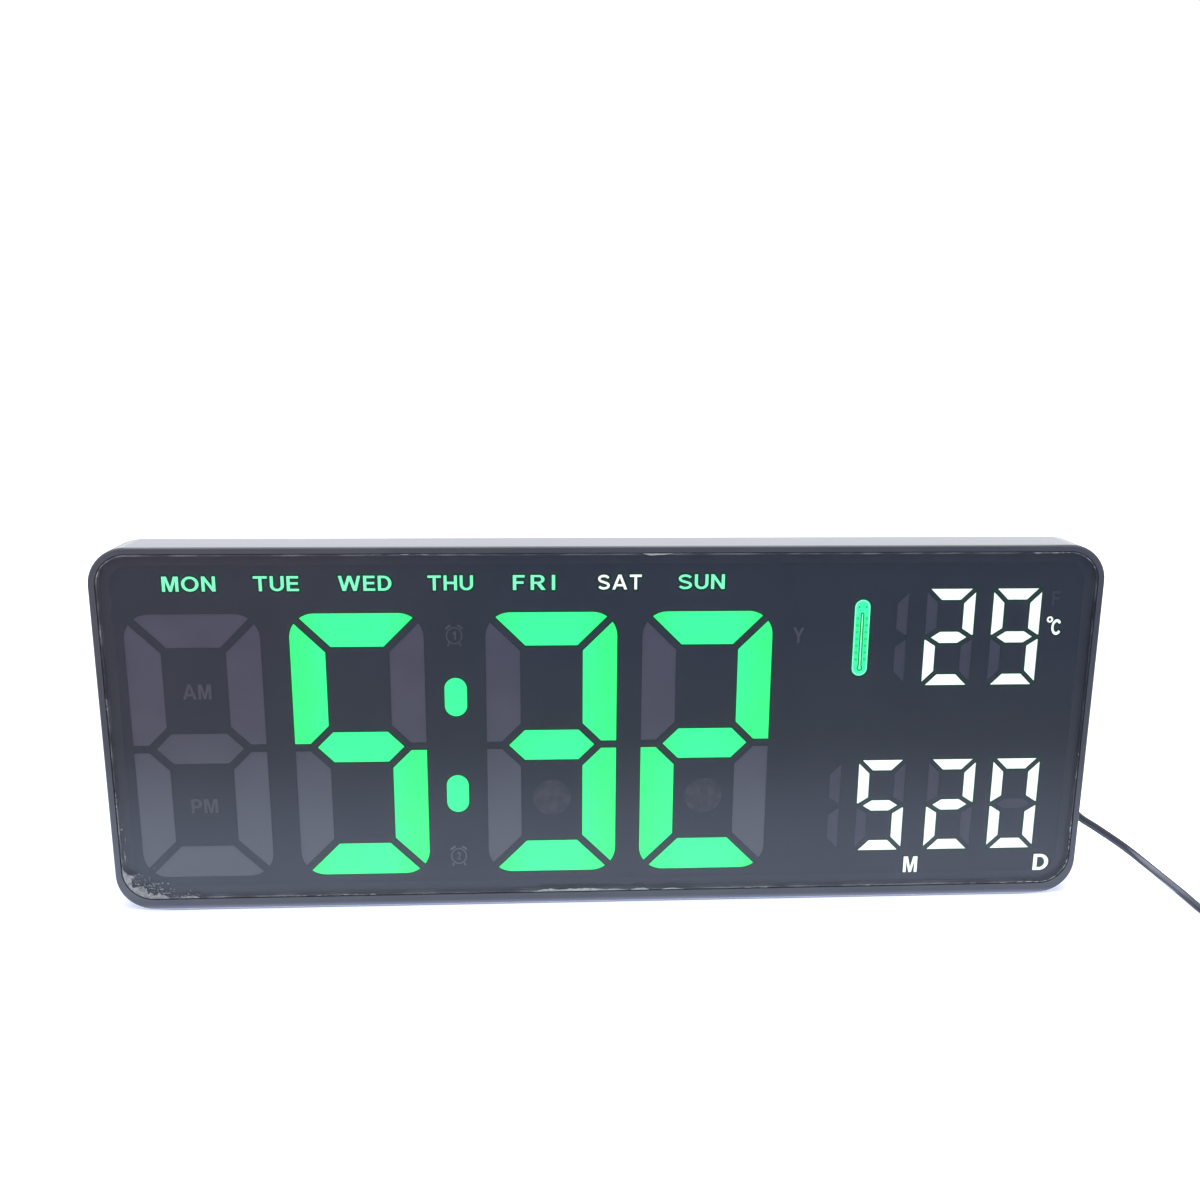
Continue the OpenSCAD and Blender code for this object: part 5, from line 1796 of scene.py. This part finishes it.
@dataclass
class Studio:
    """The camera, the pale floor and the soft light."""

    eye: Point3 = (-24.717, -432.863, 209.542)
    pitch: float = 13.143
    yaw: float = -3.152
    roll: float = 0.4005
    focal_pixels: float = 1155.0
    long_side: float = 1201.0
    sensor: float = 36.0
    near_clip: float = 0.01
    floor_half: float = 6.0
    daylight: Colour = (0.93, 0.95, 1.0)
    clock_front: float = -0.035
    # Bands of painted glare that reflections see on the floor: where each starts and ends ahead of the clock,
    # and its colour on the left and on the right
    glare_bands: tuple[tuple[float, float, Colour, Colour], ...] = (
        (0.006, 0.012, (1.1, 1.26, 1.7), (0.94, 1.08, 1.5)),
        (0.0, 0.19, (0.41, 0.45, 0.6), (0.34, 0.42, 0.58)),
        (0.12, 0.4, (0.35, 0.37, 0.54), (0.2, 0.28, 0.49)),
    )
    dimmed: float = 0.55

    def camera(self) -> None:
        """Set the camera at the photograph's viewpoint."""
        pitch, yaw, roll = (math.radians(a) for a in (self.pitch, self.yaw, self.roll))
        ahead = Vector((-math.sin(yaw) * math.cos(pitch), math.cos(yaw) * math.cos(pitch), -math.sin(pitch)))
        right = Vector((math.cos(yaw), math.sin(yaw), 0.0))
        up = right.cross(ahead)
        across = right * math.cos(roll) + up * math.sin(roll)
        upward = up * math.cos(roll) - right * math.sin(roll)
        lens = bpy.data.cameras.new("camera")
        lens.sensor_width = self.sensor
        lens.lens = self.focal_pixels / self.long_side * self.sensor
        lens.clip_start = self.near_clip
        made = link_object("camera", lens)
        turn = Matrix((across, upward, -ahead)).transposed().to_4x4()
        made.matrix_world = Matrix.Translation(millimetres(self.eye)) @ turn
        bpy.context.scene.camera = made

    def glare(self, paint: Paint, x: Socket, ahead: Socket) -> Socket:
        """Give the painted glare that the floor shows only to reflections, brightest at the clock's foot.

        Args:
            paint: The material that the nodes go into.
            x: The place's X.
            ahead: The distance ahead of the clock's front.

        Returns:
            The colour's socket.
        """
        right = paint.ramp(x, -0.28, 0.02)
        glare = paint.mix(paint.ramp(ahead, 0.0005, 0.004), (2.2, 2.5, 3.6), (0.8, 0.92, 1.3))
        for start, end, left_side, right_side in self.glare_bands:
            glare = paint.mix(paint.ramp(ahead, start, end), glare, paint.mix(right, left_side, right_side))
        return paint.mix(paint.ramp(ahead, -0.03, -0.004), (0.5, 0.52, 0.56), glare)

    def contact_shadow(self, paint: Paint, x: Socket, ahead: Socket) -> Socket:
        """Give the share of the painted shadow line where the clock meets the floor.

        Args:
            paint: The material that the nodes go into.
            x: The place's X.
            ahead: The distance ahead of the clock's front.

        Returns:
            The share's socket.
        """
        front = paint.times(paint.ramp(ahead, 0.001, 0.0001), paint.ramp(ahead, -0.012, -0.009))
        return paint.times(front, paint.ramp(paint.sum("ABSOLUTE", x), 0.174, 0.158))

    def floor(self) -> None:
        """Lay the pale floor, white to the camera and keeping the shadow, with a painted shadow line under
        the clock's front and a painted glare that only reflections show.
        """
        mesh = bpy.data.meshes.new("floor")
        half = self.floor_half
        corners = [(-half, -half, 0.0), (half, -half, 0.0), (half, half, 0.0), (-half, half, 0.0)]
        mesh.from_pydata(corners, [], [(0, 1, 2, 3)])
        made = link_object("floor", mesh)
        paint = Paint("floor")
        path = paint.nodes.new("ShaderNodeLightPath").outputs
        mirrored = path["Is Glossy Ray"]
        seen = paint.sum("MAXIMUM", path["Is Camera Ray"], path["Is Transmission Ray"])
        x, y, _ = paint.axes(paint.place)
        ahead = paint.sum("SUBTRACT", self.clock_front, y)
        # A painted shadow line darkens the floor where the clock's front meets it
        contact_shadow = self.contact_shadow(paint, x, ahead)
        far = paint.ramp(paint.vector("LENGTH", paint.place), 0.35, 1.0)
        # Under the lead the floor is paler, so that its shadow stays faint
        beside = paint.times(paint.ramp(x, 0.184, 0.198), paint.ramp(x, 0.24, 0.222, 0.0, 0.8))
        far = paint.sum("MAXIMUM", far, beside)
        shown = paint.mix(contact_shadow, paint.mix(far, (0.4, 0.44, 0.54), (1.0, 1.0, 1.0)), (0.21, 0.24, 0.36))
        pale = paint.mix(contact_shadow, (0.96, 0.96, 0.96), (0.1, 0.1, 0.12))
        bare = paint.mix(seen, (0.8, 0.8, 0.8), pale)
        paint.set(Base_Color=paint.mix(mirrored, bare, (0.0, 0.0, 0.0)))
        paint.set(Roughness=0.9, Specular_IOR_Level=0.0)
        paint.set(Emission_Color=paint.mix(mirrored, shown, self.glare(paint, x, ahead)))
        paint.set(Emission_Strength=paint.sum("MAXIMUM", seen, mirrored))
        dress(made, paint.material)

    def world(self) -> None:
        """Set a white background and a soft light from all round."""
        world = bpy.data.worlds.new("studio")
        bpy.context.scene.world = world
        world.use_nodes = True
        tree = ShaderTree(world.node_tree)
        path = tree.nodes.new("ShaderNodeLightPath").outputs
        seen = tree.sum("MAXIMUM", path["Is Camera Ray"], path["Is Glossy Ray"])
        seen = tree.sum("MAXIMUM", seen, path["Is Transmission Ray"])
        sky = tree.nodes["Background"].inputs
        tree.feed(sky["Color"], tree.mix(path["Is Glossy Ray"], (1.0, 1.0, 1.0), (0.94, 0.97, 1.05)))
        tree.feed(sky["Strength"], tree.ramp(seen, 0.0, 1.0, self.dimmed))

    def lamp(self, name: str, place: Point3, target: Point3, size: Point2, watts: float) -> None:
        """Hang one soft lamp, in metres, that looks at a target.

        Args:
            name: The lamp's name.
            place: Where it hangs.
            target: What it looks at.
            size: Its width and height.
            watts: Its power.
        """
        light = bpy.data.lights.new(name, "AREA")
        light.shape = "RECTANGLE"
        light.size, light.size_y = size
        light.energy = watts
        light.color = self.daylight
        made = link_object(name, light)
        aim = (Vector(target) - Vector(place)).to_track_quat("-Z", "Y")
        made.matrix_world = Matrix.Translation(place) @ aim.to_matrix().to_4x4()
        made.visible_camera = False

    def build(self) -> None:
        """Set up everything round the clock."""
        bpy.context.scene.view_settings.view_transform = "Standard"
        self.camera()
        self.floor()
        self.world()
        self.lamp("overhead_lamp", (0.0, -0.25, 1.5), (0.0, 0.0, 0.0), (1.6, 1.6), 16.0)


def main() -> None:
    """Load the frame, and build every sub-assembly."""
    logging.basicConfig(level=logging.INFO)
    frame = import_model()
    nodes = frame["nodes"]
    finishes = Finishes()
    finishes.dress_nodes(nodes)
    Studio().build()
    PowerLead().build(finishes, nodes)
    Display().build(finishes, nodes)
    PanelEdge().build(finishes)
    BackPrint().build(finishes)
    bpy.context.view_layer.update()


if __name__ == "__main__":
    main()
